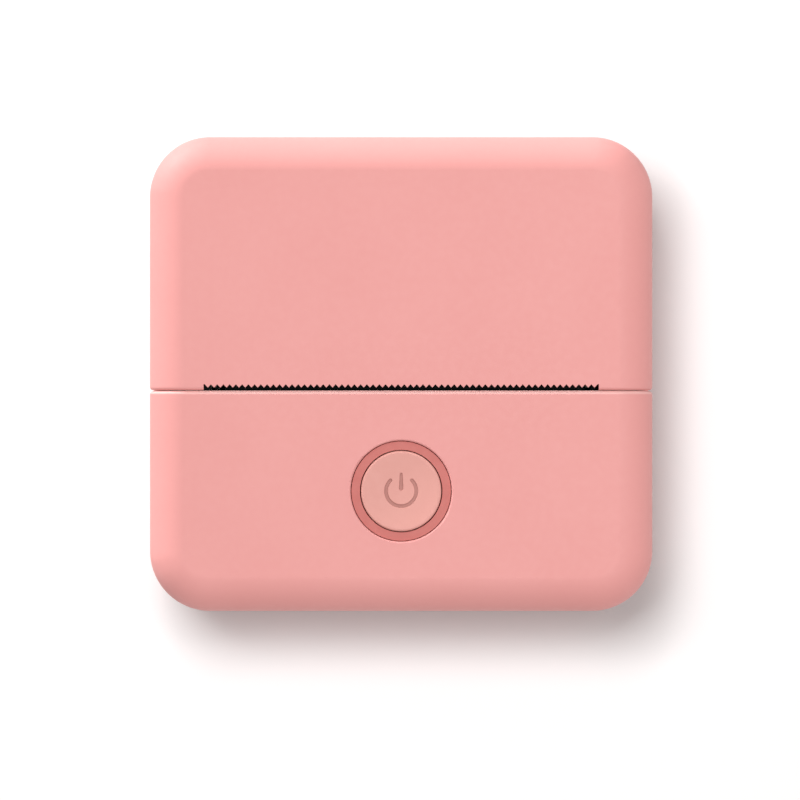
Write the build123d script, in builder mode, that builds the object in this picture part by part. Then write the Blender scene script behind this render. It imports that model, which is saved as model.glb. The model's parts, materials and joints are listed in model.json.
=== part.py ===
from build123d import *
from math import acos, atan2, cos, degrees, hypot, pi, radians, sin, sqrt, tan
import os

# A pocket thermal printer that lies on its back with its face up.
# Millimetres. X runs across the case, Y from the front to the hinge, Z up.
# The origin is on the table, under the middle of the case.

os.makedirs("parts", exist_ok=True)

# Outer case
body_width = 81.0
body_depth = 76.4
body_height = 42.0
corner_radius = 9.7
top_edge_radius = 5.6
bottom_edge_radius = 4.0
wall = 2.0
foot_height = 0.8
parting_z = 20.0
parting_gap = 0.15
parting_bevel = 0.25
lip_thickness = 0.9
lip_height = 1.5
lip_clearance = 0.15

case_floor_z = foot_height + wall
case_roof_z = body_height - wall
case_inner_x = body_width / 2 - wall
case_inner_y = body_depth / 2 - wall

# Hinge at the rear of the lid, with its knuckles on the straight of the rear wall
barrel_radius = 3.0
hinge_clearance = 0.2
hinge_pin_radius = 1.0
small_bevel = 0.2
knuckle_length = 6.0
knuckle_end_gap = 0.2
knuckle_corner_gap = 1.0
pin_clearance = 0.05
running_clearance = 0.05

hinge_y = body_depth / 2 - barrel_radius
hinge_z = parting_z
barrel_half_length = body_width / 2 - corner_radius - knuckle_length - knuckle_corner_gap
knuckle_start_x = barrel_half_length + knuckle_end_gap
knuckle_end_x = knuckle_start_x + knuckle_length

# Roll bay of the inner chassis, in front of the hinge
bay_radius = 16.0
chassis_wall = 1.2
bay_hinge_gap = 0.3
bay_plate_step = 1.6
bay_rear_rise = 3.0
bay_horn_depth = 3.0
deck_drop = 2.0
deck_step = 6.2
deck_clearance = 0.3
skirt_rise = 1.0

outer_bay = bay_radius + chassis_wall
bay_y = hinge_y - barrel_radius - bay_hinge_gap - outer_bay
bay_z = case_floor_z + outer_bay
bay_front_y = bay_y - outer_bay
bay_rear_height = hinge_z + bay_rear_rise
deck_z = parting_z - deck_drop
deck_front_y = bay_y - deck_step

# Print head in front of the bay, sprung against the roller
nip_gap = 0.15
head_bay_gap = 0.35
head_plate_thickness = 0.8
head_plate_margin = 1.0
head_plate_drop = 0.4
head_driver_height = 2.2
head_driver_depth = 0.5
head_driver_share = 0.8
heat_sink_thickness = 3.2
heat_sink_side_gap = 0.6
heat_sink_bevel = 1.2
sink_groove_spacing = 3.0
sink_groove_length = 7.0
sink_groove_width = 1.2
sink_groove_count = 5
head_height = 12.0
head_over_roller = 3.4
head_pivot_rise = 1.4
head_pivot_radius = 1.1
spring_bow_share = 0.169
spring_strip_width = 4.0
spring_strip_thickness = 0.3
spring_drop = 1.1
spring_peg_radius = 0.8

head_face_y = bay_front_y - head_bay_gap
heat_sink_rear_y = head_face_y - head_plate_thickness
heat_sink_front_y = heat_sink_rear_y - heat_sink_thickness
head_pivot_y = (heat_sink_rear_y + heat_sink_front_y) / 2
spring_bow = spring_bow_share * (heat_sink_front_y + case_inner_y)

# Print roller that the lid carries
roller_radius = 4.0
roller_end_gap = 0.5
roller_core_radius = 2.0
roller_head_room = 1.4
roller_edge = 0.3
journal_radius = 1.5
bush_radius = 2.75
bush_length = 4.0
bush_flange_radius = 3.5
bush_flange_length = 0.5
bush_plate_overlap = 0.3
bush_end_gap = 0.15
core_end_gap = 0.3
roller_hub_wall = 0.6
clip_thickness = 0.4
clip_land = 0.6
clip_mouth_share = 1.2
clip_radius = 2.5

roller_y = head_face_y + nip_gap + roller_radius
roller_z = case_roof_z - roller_head_room - roller_radius
roller_centre = (roller_y, roller_z)
head_top_z = roller_z + head_over_roller
head_bottom_z = head_top_z - head_height
head_pivot_z = head_bottom_z + head_pivot_rise
spring_z = roller_z - spring_drop

# Seam between lid and front cover, over the nip, and the slot with its tear teeth
seam_head_cover = 0.05
seam_gap = 0.2
seam_round = 0.5
slot_side_land = 8.8
tooth_pitch = 1.0
tooth_depth = 0.54
tooth_tip_gap = 0.6

seam_y = head_face_y + seam_head_cover
lid_front_y = seam_y + seam_gap
slot_width = body_width - 2 * slot_side_land
tooth_count = int(slot_width / tooth_pitch)

# Gear train on the left, between the frame's plate and the case's wall
gear_module = 0.5
gear_root_share = 1.25
pressure_angle = 20.0
gear_backlash = 0.1
gear_centre_slack = 0.04
motor_pinion_teeth = 12
first_wheel_teeth = 30
second_pinion_teeth = 12
drive_gear_teeth = 28
roller_gear_teeth = 14
gear_width = 2.2
gear_wall_gap = 1.2
gear_layer_gap = 0.4
inner_gear_gap = 0.4
gear_face_gap = 0.1
stud_radius = 1.0
gear_hub_radius = 1.9
gear_rim = 1.6
gear_web_recess = 0.5
gear_hub_wall = 0.9
shaft_overhang = 0.4

gear_end_x = case_inner_x - gear_wall_gap
outer_gear_x = gear_end_x - gear_width
inner_gear_x = outer_gear_x - gear_layer_gap - gear_width
gear_shaft_end_x = gear_end_x + shaft_overhang

# Frame of the print mechanism
plate_thickness = 1.5
shelf_thickness = 1.2
frame_shelf_drop = 11.0
frame_top_rise = 1.6
notch_clearance = 0.12
notch_wall = 1.1
plate_foot_step = 2.0
lobe_margin = 3.0
cable_slot_height = 1.6

plate_outer_x = inner_gear_x - inner_gear_gap
plate_inner_x = plate_outer_x - plate_thickness
frame_shelf_z = roller_z - frame_shelf_drop
frame_top_z = roller_z + frame_top_rise
frame_front_y = heat_sink_front_y - spring_bow - shelf_thickness
bay_half_width = plate_inner_x - bay_plate_step
roller_length = 2 * (bay_half_width - roller_end_gap)
heat_sink_width = 2 * (plate_inner_x - heat_sink_side_gap)
head_plate_width = heat_sink_width - 2 * head_plate_margin
spring_half_span = heat_sink_width / 3
bay_front_height = head_pivot_z - deck_clearance
bay_end_height = bay_front_height - chassis_wall

# Stepper motor on the inside of the frame's left plate
motor_share = 0.3606
motor_length = 10.0
motor_top_gap = 0.6
motor_flange_thickness = 0.8
motor_boss_radius = 3.0
motor_shaft_radius = 0.75
motor_setback = 1.5
motor_ear_step = 2.1
motor_ear_radius = 2.2
motor_ear_turn = -50.0
motor_can_bevel = 0.5
motor_shaft_overhang = 0.3

motor_radius = motor_share * (frame_shelf_z - case_floor_z)
motor_ear_spacing = motor_radius + motor_ear_step
motor_y = frame_front_y + motor_setback
motor_z = frame_shelf_z - motor_top_gap - motor_radius
motor_centre = (motor_y, motor_z)

# Small screws
small_screw_radius = 0.8
small_head_radius = 1.6
small_head_height = 1.0
small_screw_length = 4.5
small_boss_radius = 2.2
head_bevel_share = 0.3
screw_clearance = 0.25

# Case screws from below, near the corners
case_screw_inset = 4.9
case_screw_hinge_step = 11.2
case_screw_head_radius = 2.0
case_screw_head_height = 1.4
case_screw_shank_radius = 0.9
case_screw_length = 8.0
boss_radius = 3.2
front_boss_height = 13.2
rear_boss_height = 6.2
boss_land = 2.0
boss_gap = 0.1

case_screw_x = case_inner_x - case_screw_inset
front_screw_y = -case_inner_y + case_screw_inset
rear_screw_y = hinge_y - case_screw_hinge_step
front_boss_z = case_floor_z + front_boss_height
rear_boss_z = case_floor_z + rear_boss_height

# Feet
foot_inset_x = 14.0
foot_inset_y = 10.2
foot_radius = 4.0
foot_recess = 0.8
foot_clearance = 0.1
foot_bevel = 0.3

foot_x = body_width / 2 - foot_inset_x
foot_y = body_depth / 2 - foot_inset_y

# Power button and the ring round it
button_shift = 1.7
button_radius = 6.45
button_dish_depth = 0.4
button_edge_round = 0.3
button_flange_radius = 7.4
button_flange_height = 1.0
button_stem_radius = 1.6
button_travel = 0.4
ring_radius = 8.0
ring_recess = 0.4
ring_height = 3.0
ring_flange_radius = 9.4
ring_flange_height = 0.9
ring_gap = 0.1
ring_hole_round = 0.3
button_gap = 0.15
button_lift_gap = 0.3

button_y = (seam_y - body_depth / 2) / 2 + button_shift
ring_top_z = body_height - ring_recess
button_flange_z = ring_top_z - ring_height - button_lift_gap

# Circuit board that hangs under the front cover
board_drop = 10.0
board_thickness = 1.2
board_left_inset = 10.5
board_right_inset = 2.5
board_front_inset = 2.2
board_frame_gap = 1.2
board_notch_radius = 4.2
board_boss_inset_left = 4.0
board_boss_inset_right = 10.0
board_boss_inset_y = 3.4
chip_height = 1.2
controller_x = 13.0
controller_side = 8.0
driver_side = 5.5
charger_x = 7.0
charger_side = 3.0
capacitor_size = (2.0, 1.2, 0.8)
capacitor_spacing = 10.0
capacitor_inset = 3.5
plug_size = (6.0, 4.5, 4.0)
plug_inset = 9.5
switch_size = 6.0
switch_height = 3.5
switch_well = 1.0
plunger_radius = 1.7
plunger_clearance = 0.1
plunger_float = 0.2

board_z = case_roof_z - board_drop
board_top_z = board_z + board_thickness
board_left_x = -case_inner_x + board_left_inset
board_right_x = case_inner_x - board_right_inset
board_front_y = -case_inner_y + board_front_inset
board_rear_y = frame_front_y - board_frame_gap
board_boss_places = [
    (x, y)
    for x in (board_left_x + board_boss_inset_left, board_right_x - board_boss_inset_right)
    for y in (board_front_y + board_boss_inset_y, board_rear_y - board_boss_inset_y)
]
switch_top_z = board_top_z + switch_height
plunger_top_z = switch_top_z + 2 * button_travel
plunger_bottom_z = board_top_z + switch_well + button_travel + plunger_float

# Flat cable and its connector
cable_thickness = 0.2
cable_share = 0.4
cable_gap = 0.1
cable_clearance = 0.4
cable_bend = 0.3
connector_inset = 2.8
connector_depth = 3.6
connector_height = 1.4
connector_side = 1.0

cable_width = cable_share * heat_sink_width
connector_y = board_rear_y - connector_inset
cable_end_z = board_z - connector_height / 2

# Charging socket in the right wall
socket_boss_gap = 1.63
socket_width = 8.94
socket_height = 3.26
socket_depth = 7.3
socket_sheet = 0.3
socket_back = 1.0
socket_recess = 0.9
socket_clearance = 0.25
tongue_thickness = 0.7
tongue_width = 6.7
tongue_setback = 1.0
tongue_bevel = 0.2

socket_y = front_screw_y + boss_radius + socket_boss_gap + socket_width / 2
socket_z = board_top_z + socket_height / 2
socket_mouth_x = body_width / 2 - socket_recess

# Battery, between the motor and the right front screw boss
cell_height = 10.0
cell_round = 3.0
cell_front_gap = 1.4
cell_frame_gap = 1.8
cell_motor_gap = 3.1
cell_boss_gap = 2.9
cell_rib_height = 5.0
cell_rib_thickness = 1.2
cell_rib_gap = 0.3
cell_rib_share = 0.6

cell_left_x = -plate_inner_x + motor_length + cell_motor_gap
cell_right_x = case_screw_x - boss_radius - cell_boss_gap
cell_front_y = -case_inner_y + cell_front_gap
cell_rear_y = frame_front_y - cell_frame_gap
cell_length = cell_right_x - cell_left_x
cell_width = cell_rear_y - cell_front_y
cell_centre_x = (cell_left_x + cell_right_x) / 2
cell_centre_y = (cell_front_y + cell_rear_y) / 2

# Bracket that hangs the roller under the lid
arm_gap = 0.5
arm_thickness = 1.5
arm_margin = 0.8
arm_neck = 1.0
beam_step = 4.8
beam_thickness = 1.5
beam_drop = 0.4
flange_depth = 7.0
flange_thickness = 1.2
lid_boss_height = 0.8
lid_screw_inset = 7.0
lid_rib_depth = 2.2
lid_rib_thickness = 1.0
lid_rib_spacing = 13.0
lid_rib_count = 5
lid_rib_step = 1.3

arm_x = plate_outer_x + arm_gap
beam_y = roller_y + beam_step
beam_rear_y = beam_y + beam_thickness
beam_bottom_z = roller_z - beam_drop
flange_top_z = case_roof_z - lid_boss_height
flange_bottom_z = flange_top_z - flange_thickness
lid_screw_y = beam_rear_y + flange_depth / 2
lid_screw_places = [(side * (bay_half_width - lid_screw_inset), lid_screw_y) for side in (-1, 0, 1)]

# Shelf of the chassis, under the frame
shelf_motor_gap = 2.6
shelf_side_gap = 0.2
cable_screw_gap = 3.5
shelf_screw_inset_right = 5.4
shelf_screw_step = 3.6
shelf_rib_count = 4
shelf_boss_height = 5.0
shelf_screw_depth = 4.0

shelf_start_x = -plate_inner_x + motor_length + shelf_motor_gap
shelf_end_x = plate_inner_x - shelf_side_gap
shelf_rear_y = bay_front_y + chassis_wall / 2
frame_screw_y = frame_front_y + shelf_screw_step
frame_screw_places = [
    (-cable_width / 2 - cable_screw_gap, frame_screw_y),
    (shelf_end_x - shelf_screw_inset_right, frame_screw_y),
]

# Optical sensor that sees the paper
sensor_x = 10.0
sensor_size = (4.0, 1.6, 3.0)
sensor_rise = 2.1
sensor_bevel = 0.3


def place(point_y, point_z, direction, distance):
    """The point at a distance from another, in a direction in degrees from +Y towards +Z."""
    return (
        point_y + distance * cos(radians(direction)),
        point_z + distance * sin(radians(direction)),
    )


def direction_to(from_point, to_point):
    """The direction from one (Y, Z) point to another, in degrees from +Y towards +Z."""
    return degrees(atan2(to_point[1] - from_point[1], to_point[0] - from_point[0]))


def pitch_radius(teeth):
    return gear_module * teeth / 2


def meshed_turn(turn, teeth, direction, next_teeth):
    """Where the next gear's tooth has to stand, for it to mesh along the line of centres."""
    share = ((direction - turn) * teeth / 360) % 1
    return direction + 180 - (0.5 - share) * 360 / next_teeth


# The lid lifts the roller away along the tangent of its swing, and the gear under it lies on that line.
lift_direction = degrees(atan2(hinge_y - roller_y, roller_z - hinge_z))
drive_distance = pitch_radius(roller_gear_teeth) + pitch_radius(drive_gear_teeth) + gear_centre_slack
drive_centre = place(*roller_centre, lift_direction + 180, drive_distance)

# The two-step gear stands where its two centre distances meet, in front of the drive gear.
motor_distance = pitch_radius(motor_pinion_teeth) + pitch_radius(first_wheel_teeth) + gear_centre_slack
second_distance = pitch_radius(second_pinion_teeth) + pitch_radius(drive_gear_teeth) + gear_centre_slack
motor_to_drive = hypot(drive_centre[0] - motor_y, drive_centre[1] - motor_z)
step_angle = degrees(
    acos((motor_distance**2 + motor_to_drive**2 - second_distance**2) / (2 * motor_distance * motor_to_drive))
)
step_centre = place(*motor_centre, direction_to(motor_centre, drive_centre) + step_angle, motor_distance)

roller_gear_turn = lift_direction + 180
drive_gear_turn = meshed_turn(
    roller_gear_turn, roller_gear_teeth, direction_to(roller_centre, drive_centre), drive_gear_teeth
)
second_pinion_turn = meshed_turn(
    drive_gear_turn, drive_gear_teeth, direction_to(drive_centre, step_centre), second_pinion_teeth
)
first_wheel_turn = second_pinion_turn
motor_pinion_turn = meshed_turn(
    first_wheel_turn, first_wheel_teeth, direction_to(step_centre, motor_centre), motor_pinion_teeth
)


def gear_sketch(teeth, turn):
    """A spur gear's outline about the origin, with one tooth pointing at the turn angle."""
    pitch = pitch_radius(teeth)
    base = pitch * cos(radians(pressure_angle))
    tip = pitch + gear_module
    root = pitch - gear_root_share * gear_module
    half_tooth = pi / (2 * teeth) - gear_backlash / (2 * pitch)

    def involute(angle):
        return tan(angle) - angle

    def flank(radius):
        """A flank's angle from the middle of its tooth, at a radius."""
        outside = max(radius, base)
        return half_tooth + involute(radians(pressure_angle)) - involute(acos(base / outside))

    def point(radius, side, tooth_angle):
        angle = tooth_angle + side * flank(radius)
        return (radius * cos(angle), radius * sin(angle))

    start = max(root, base)
    rising = [root, start, (start + tip) / 2, tip] if base > root else [start, (start + tip) / 2, tip]
    outline = []
    for number in range(teeth):
        tooth_angle = radians(turn + 360 * number / teeth)
        outline += [point(radius, -1, tooth_angle) for radius in rising]
        outline += [point(radius, 1, tooth_angle) for radius in reversed(rising)]
    with BuildSketch() as gear:
        with BuildLine():
            Polyline(*outline, close=True)
        make_face()
    return gear.sketch


def across(x):
    """The plane that cuts the case across its width at X, drawn on in Y and Z."""
    return Plane.YZ.offset(x)


def case_form(inset):
    """The rounded block of the whole case, or its hollow when it is inset by the wall."""
    with BuildPart() as form:
        with BuildSketch(Plane.XY.offset(foot_height + inset)):
            RectangleRounded(body_width - 2 * inset, body_depth - 2 * inset, corner_radius - inset)
        extrude(amount=body_height - foot_height - 2 * inset)
        fillet(form.edges().group_by(Axis.Z)[-1], top_edge_radius - inset)
        fillet(form.edges().group_by(Axis.Z)[0], bottom_edge_radius - inset)
    return form.part


def inner_edge_ring(inner_inset, outer_inset, bottom, top):
    """A band that follows the case's wall, between two insets from the outside."""
    with BuildPart() as band:
        with BuildSketch(Plane.XY.offset(bottom)):
            RectangleRounded(
                body_width - 2 * outer_inset, body_depth - 2 * outer_inset, corner_radius - outer_inset
            )
            RectangleRounded(
                body_width - 2 * inner_inset,
                body_depth - 2 * inner_inset,
                corner_radius - inner_inset,
                mode=Mode.SUBTRACT,
            )
        extrude(amount=top - bottom)
    return band.part


case_block = case_form(0)
case_hollow = case_form(wall)
deck_block = case_form(wall + deck_clearance)
reach = 2 * body_width
rebate = inner_edge_ring(
    wall + lip_clearance,
    wall - lip_thickness - lip_clearance,
    parting_z,
    parting_z + lip_height + 2 * lip_clearance,
)
lip_rear_y = hinge_y - barrel_radius - wall
rebate = rebate & (Pos(0, lip_rear_y - reach / 2 + 1, parting_z) * Box(reach, reach, reach))


def outside_edges(part, plane_y):
    """The case's outer edges that lie in a plane across its depth, above the parting line."""
    flat = part.edges().filter_by_position(Axis.Y, plane_y - 0.01, plane_y + 0.01)
    return flat.filter_by(
        lambda edge: edge.center().Z > parting_z + wall
        and (abs((edge @ 0.5).X) > body_width / 2 - 0.9 * wall or (edge @ 0.5).Z > body_height - 0.9 * wall)
    )


def outer_rim_edges(part, level, max_y):
    """The case's outer edges at the height of the parting line, up to a place along Y."""

    def on_outside(edge):
        middle = edge @ 0.5
        past_x = max(0, abs(middle.X) - body_width / 2 + corner_radius)
        past_y = max(0, abs(middle.Y) - body_depth / 2 + corner_radius)
        return hypot(past_x, past_y) > corner_radius - wall / 4 and middle.Y < max_y

    return part.edges().filter_by_position(Axis.Z, level - 0.01, level + 0.01).filter_by(on_outside)


# Bottom casing, with the hinge's outer knuckles
screw_places = (
    (front_screw_y, front_boss_z),
    (rear_screw_y, rear_boss_z),
)

with BuildPart() as base_shell:
    add(case_block)
    add(case_hollow, mode=Mode.SUBTRACT)
    split(bisect_by=Plane.XY.offset(parting_z), keep=Keep.BOTTOM)
    chamfer(outer_rim_edges(base_shell.part, parting_z, body_depth), parting_bevel)
    # Locating lip on the inner half of the wall
    add(inner_edge_ring(wall, wall - lip_thickness, parting_z - wall, parting_z + lip_height))
    with BuildSketch(Plane.XY.offset(parting_z)):
        with Locations((0, lip_rear_y + reach / 2)):
            Rectangle(reach, reach)
    extrude(amount=2 * lip_height, mode=Mode.SUBTRACT)
    # Room for the lid's barrel and heel to turn in
    with BuildSketch(across(-reach / 2)):
        with Locations((hinge_y, hinge_z)):
            Circle(barrel_radius + hinge_clearance)
        with Locations((hinge_y + barrel_radius, hinge_z)):
            Rectangle(2 * barrel_radius, 2 * (barrel_radius + hinge_clearance))
    extrude(amount=reach, mode=Mode.SUBTRACT)
    # Knuckles, braced down to the rear wall
    knuckle_foot = parting_z - 2.5 * barrel_radius
    for side in (-1, 1):
        with BuildSketch(across(side * knuckle_start_x)):
            with BuildLine():
                Polyline(
                    (hinge_y - barrel_radius, hinge_z),
                    (hinge_y - barrel_radius, hinge_z - barrel_radius),
                    (body_depth / 2 - wall, knuckle_foot - wall),
                    (body_depth / 2, knuckle_foot - wall),
                    (body_depth / 2, hinge_z),
                    (hinge_y - barrel_radius, hinge_z),
                )
            make_face()
            with Locations((hinge_y, hinge_z)):
                Circle(barrel_radius)
        extrude(amount=side * knuckle_length)
    with BuildSketch(across(-knuckle_end_x)):
        with Locations((hinge_y, hinge_z)):
            Circle(hinge_pin_radius + pin_clearance)
    extrude(amount=2 * knuckle_end_x, mode=Mode.SUBTRACT)
    # Screw bosses rising from the floor, each with a deep seat for the screw's head
    for place_y, boss_top in screw_places:
        with BuildSketch(Plane.XY.offset(case_floor_z - wall / 2)):
            with Locations((-case_screw_x, place_y), (case_screw_x, place_y)):
                Circle(boss_radius)
        extrude(amount=boss_top - case_floor_z + wall / 2)
        with BuildSketch(Plane.XY):
            with Locations((-case_screw_x, place_y), (case_screw_x, place_y)):
                Circle(case_screw_head_radius + screw_clearance)
        extrude(amount=boss_top - boss_land, mode=Mode.SUBTRACT)
        with BuildSketch(Plane.XY):
            with Locations((-case_screw_x, place_y), (case_screw_x, place_y)):
                Circle(case_screw_shank_radius + screw_clearance)
        extrude(amount=boss_top + wall, mode=Mode.SUBTRACT)
    # Shallow seats for the feet
    with BuildSketch(Plane.XY.offset(foot_height)):
        with GridLocations(2 * foot_x, 2 * foot_y, 2, 2):
            Circle(foot_radius + foot_clearance)
    extrude(amount=foot_recess, mode=Mode.SUBTRACT)
    # Ribs that hold the battery
    with BuildSketch(Plane.XY.offset(case_floor_z - wall / 2)):
        with Locations((cell_centre_x, cell_centre_y)):
            with Locations(
                (-cell_length / 2 - cell_rib_gap - cell_rib_thickness / 2, 0),
                (cell_length / 2 + cell_rib_gap + cell_rib_thickness / 2, 0),
            ):
                Rectangle(cell_rib_thickness, cell_rib_share * cell_width)
            with Locations((0, cell_width / 2 + cell_rib_gap + cell_rib_thickness / 2)):
                Rectangle(cell_rib_share * cell_length, cell_rib_thickness)
    extrude(amount=cell_rib_height + wall / 2)

base_shell.part.label = "base_shell"
export_step(base_shell.part, "parts/base_shell.step")


# Front casing, with the button's hole, the board's bosses and the socket's window
with BuildPart() as front_cover:
    add(case_block)
    add(case_hollow, mode=Mode.SUBTRACT)
    split(bisect_by=Plane.XY.offset(parting_z + parting_gap), keep=Keep.TOP)
    split(bisect_by=Plane.XZ.offset(-seam_y), keep=Keep.TOP)
    fillet(outside_edges(front_cover.part, seam_y), seam_round)
    chamfer(outer_rim_edges(front_cover.part, parting_z + parting_gap, seam_y), parting_bevel)
    add(rebate, mode=Mode.SUBTRACT)
    # Hole for the ring, with its edge just broken
    with BuildSketch(Plane.XY.offset(case_roof_z)):
        with Locations((0, button_y)):
            Circle(ring_radius + ring_gap)
    extrude(amount=wall, mode=Mode.SUBTRACT)
    ring_edge = front_cover.edges().filter_by(GeomType.CIRCLE).group_by(Axis.Z)[-1]
    fillet(ring_edge, ring_hole_round)
    # Pillars that the front screws bite into
    with BuildSketch(Plane.XY.offset(front_boss_z + boss_gap)):
        with Locations((-case_screw_x, front_screw_y), (case_screw_x, front_screw_y)):
            Circle(boss_radius)
    extrude(amount=case_roof_z - front_boss_z)
    with BuildSketch(Plane.XY.offset(front_boss_z)):
        with Locations((-case_screw_x, front_screw_y), (case_screw_x, front_screw_y)):
            Circle(case_screw_shank_radius)
    extrude(amount=case_screw_length, mode=Mode.SUBTRACT)
    # Bosses that the board hangs from
    with BuildSketch(Plane.XY.offset(board_top_z)):
        with Locations(*board_boss_places):
            Circle(small_boss_radius)
    extrude(amount=case_roof_z - board_top_z + wall / 2)
    with BuildSketch(Plane.XY.offset(board_top_z)):
        with Locations(*board_boss_places):
            Circle(small_screw_radius)
    extrude(amount=small_screw_length, mode=Mode.SUBTRACT)
    # Window for the charging plug
    with BuildSketch(across(board_right_x)):
        with Locations((socket_y, socket_z)):
            SlotOverall(socket_width + 2 * socket_clearance, socket_height + 2 * socket_clearance)
    extrude(amount=body_width / 2, mode=Mode.SUBTRACT)

front_cover.part.label = "front_cover"
export_step(front_cover.part, "parts/front_cover.step")


# Lid, with the hinge barrel at its rear and the tear teeth along its front edge
with BuildPart() as heel:
    with BuildSketch(across(-reach / 2)):
        with Locations((hinge_y, hinge_z)):
            Circle(barrel_radius)
        with Locations((hinge_y + barrel_radius, hinge_z + wall / 2)):
            Rectangle(2 * barrel_radius, wall)
    extrude(amount=reach)
    add(case_block, mode=Mode.INTERSECT)
    add(case_hollow, mode=Mode.SUBTRACT)

tooth_tip_y = seam_y + tooth_tip_gap
tooth_root_y = tooth_tip_y + tooth_depth
lid_rib_start_y = lid_screw_y + flange_depth / 2 + lid_rib_step
rib_length = body_depth / 2 - top_edge_radius - lid_rib_start_y
first_tooth_x = -tooth_pitch * (tooth_count - 1) / 2
tooth_line = [(first_tooth_x - tooth_pitch / 2, tooth_root_y)]
for number in range(tooth_count):
    tip_x = first_tooth_x + number * tooth_pitch
    tooth_line += [(tip_x, tooth_tip_y), (tip_x + tooth_pitch / 2, tooth_root_y)]

with BuildPart() as lid_shell:
    add(case_block)
    add(case_hollow, mode=Mode.SUBTRACT)
    split(bisect_by=Plane.XY.offset(parting_z + parting_gap), keep=Keep.TOP)
    split(bisect_by=Plane.XZ.offset(-lid_front_y), keep=Keep.BOTTOM)
    fillet(outside_edges(lid_shell.part, lid_front_y), seam_round)
    chamfer(outer_rim_edges(lid_shell.part, parting_z + parting_gap, body_depth), parting_bevel)
    add(heel.part)
    add(rebate, mode=Mode.SUBTRACT)
    # Hinge barrel between the base's knuckles
    with BuildSketch(across(-barrel_half_length)):
        with Locations((hinge_y, hinge_z)):
            Circle(barrel_radius)
        with Locations((hinge_y + barrel_radius / 2, hinge_z + barrel_radius / 2)):
            Rectangle(barrel_radius, barrel_radius)
    extrude(amount=2 * barrel_half_length)
    for side in (-1, 1):
        # Notch that clears each knuckle over the whole swing
        with BuildSketch(across(side * barrel_half_length)):
            with Locations((hinge_y + barrel_radius, hinge_z)):
                Rectangle(4 * barrel_radius, 2 * (barrel_radius + hinge_clearance))
        extrude(amount=side * (knuckle_length + 2 * knuckle_end_gap), mode=Mode.SUBTRACT)
    with BuildSketch(across(-barrel_half_length)):
        with Locations((hinge_y, hinge_z)):
            Circle(hinge_pin_radius + pin_clearance)
    extrude(amount=2 * barrel_half_length, mode=Mode.SUBTRACT)
    # Slot for the paper, cut along the row of tear teeth
    with BuildSketch(Plane.XY.offset(case_roof_z - wall)):
        with BuildLine():
            Polyline(
                (-slot_width / 2, lid_front_y - wall),
                (-slot_width / 2, tooth_root_y),
                *tooth_line,
                (slot_width / 2, tooth_root_y),
                (slot_width / 2, lid_front_y - wall),
                close=True,
            )
        make_face()
    extrude(amount=3 * wall, mode=Mode.SUBTRACT)
    # Stiffening ribs under the roof, over the roll
    with BuildSketch(Plane.XY.offset(case_roof_z - lid_rib_depth)):
        with Locations((0, lid_rib_start_y + rib_length / 2)):
            with GridLocations(lid_rib_spacing, 1, lid_rib_count, 1):
                Rectangle(lid_rib_thickness, rib_length)
    extrude(amount=lid_rib_depth + wall / 2)
    # Bosses for the roller bracket's screws
    with BuildSketch(Plane.XY.offset(flange_top_z)):
        with Locations(*lid_screw_places):
            Circle(small_boss_radius)
    extrude(amount=lid_boss_height + wall / 2)
    with BuildSketch(Plane.XY.offset(flange_top_z)):
        with Locations(*lid_screw_places):
            Circle(small_screw_radius)
    extrude(amount=lid_boss_height + wall / 2, mode=Mode.SUBTRACT)

lid_shell.part.label = "lid_shell"
export_step(lid_shell.part, "parts/lid_shell.step")


# Steel rod that the lid turns on
with BuildPart() as hinge_pin:
    with BuildSketch(across(-knuckle_end_x)):
        with Locations((hinge_y, hinge_z)):
            Circle(hinge_pin_radius)
    extrude(amount=2 * knuckle_end_x)
    chamfer(hinge_pin.edges(), small_bevel)

hinge_pin.part.label = "hinge_pin"
export_step(hinge_pin.part, "parts/hinge_pin.step")


# Bracket under the lid that carries the roller's bushes
with BuildPart() as roller_bracket:
    for side in (-1, 1):
        with BuildSketch(across(side * arm_x)):
            with Locations(roller_centre):
                Circle(bush_radius + arm_margin)
            with BuildLine():
                Polyline(
                    (roller_y - arm_neck, flange_top_z),
                    (roller_y - arm_neck, roller_z),
                    (roller_y + arm_neck, roller_z - arm_neck),
                    (beam_rear_y, beam_bottom_z),
                    (beam_rear_y, flange_top_z),
                    close=True,
                )
            make_face()
        extrude(amount=side * arm_thickness)
    with BuildSketch(across(-arm_x - arm_thickness)):
        with Locations((beam_y + beam_thickness / 2, (beam_bottom_z + flange_top_z) / 2)):
            Rectangle(beam_thickness, flange_top_z - beam_bottom_z)
        with Locations((beam_y + (beam_thickness + flange_depth) / 2, flange_top_z - flange_thickness / 2)):
            Rectangle(beam_thickness + flange_depth, flange_thickness)
    extrude(amount=2 * (arm_x + arm_thickness))
    # Round seats for the bushes
    with BuildSketch(across(-arm_x - arm_thickness)):
        with Locations(roller_centre):
            Circle(bush_radius + pin_clearance)
    extrude(amount=2 * (arm_x + arm_thickness), mode=Mode.SUBTRACT)
    with BuildSketch(Plane.XY.offset(flange_bottom_z)):
        with Locations(*lid_screw_places):
            Circle(small_screw_radius + screw_clearance)
    extrude(amount=flange_thickness, mode=Mode.SUBTRACT)

roller_bracket.part.label = "roller_bracket"
export_step(roller_bracket.part, "parts/roller_bracket.step")


def screw(head_radius, head_height, shank_radius, length, towards):
    """A pan-head screw about the origin, whose shank points up or down from under its head."""
    with BuildPart() as made:
        with BuildSketch(Plane.XY):
            Circle(head_radius)
        extrude(amount=-towards * head_height)
        far_face = made.faces().sort_by(Axis.Z)[0 if towards > 0 else -1]
        chamfer(far_face.edges(), head_bevel_share * head_height)
        with BuildSketch(Plane.XY):
            Circle(shank_radius)
        extrude(amount=towards * length)
    return made.part


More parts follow.
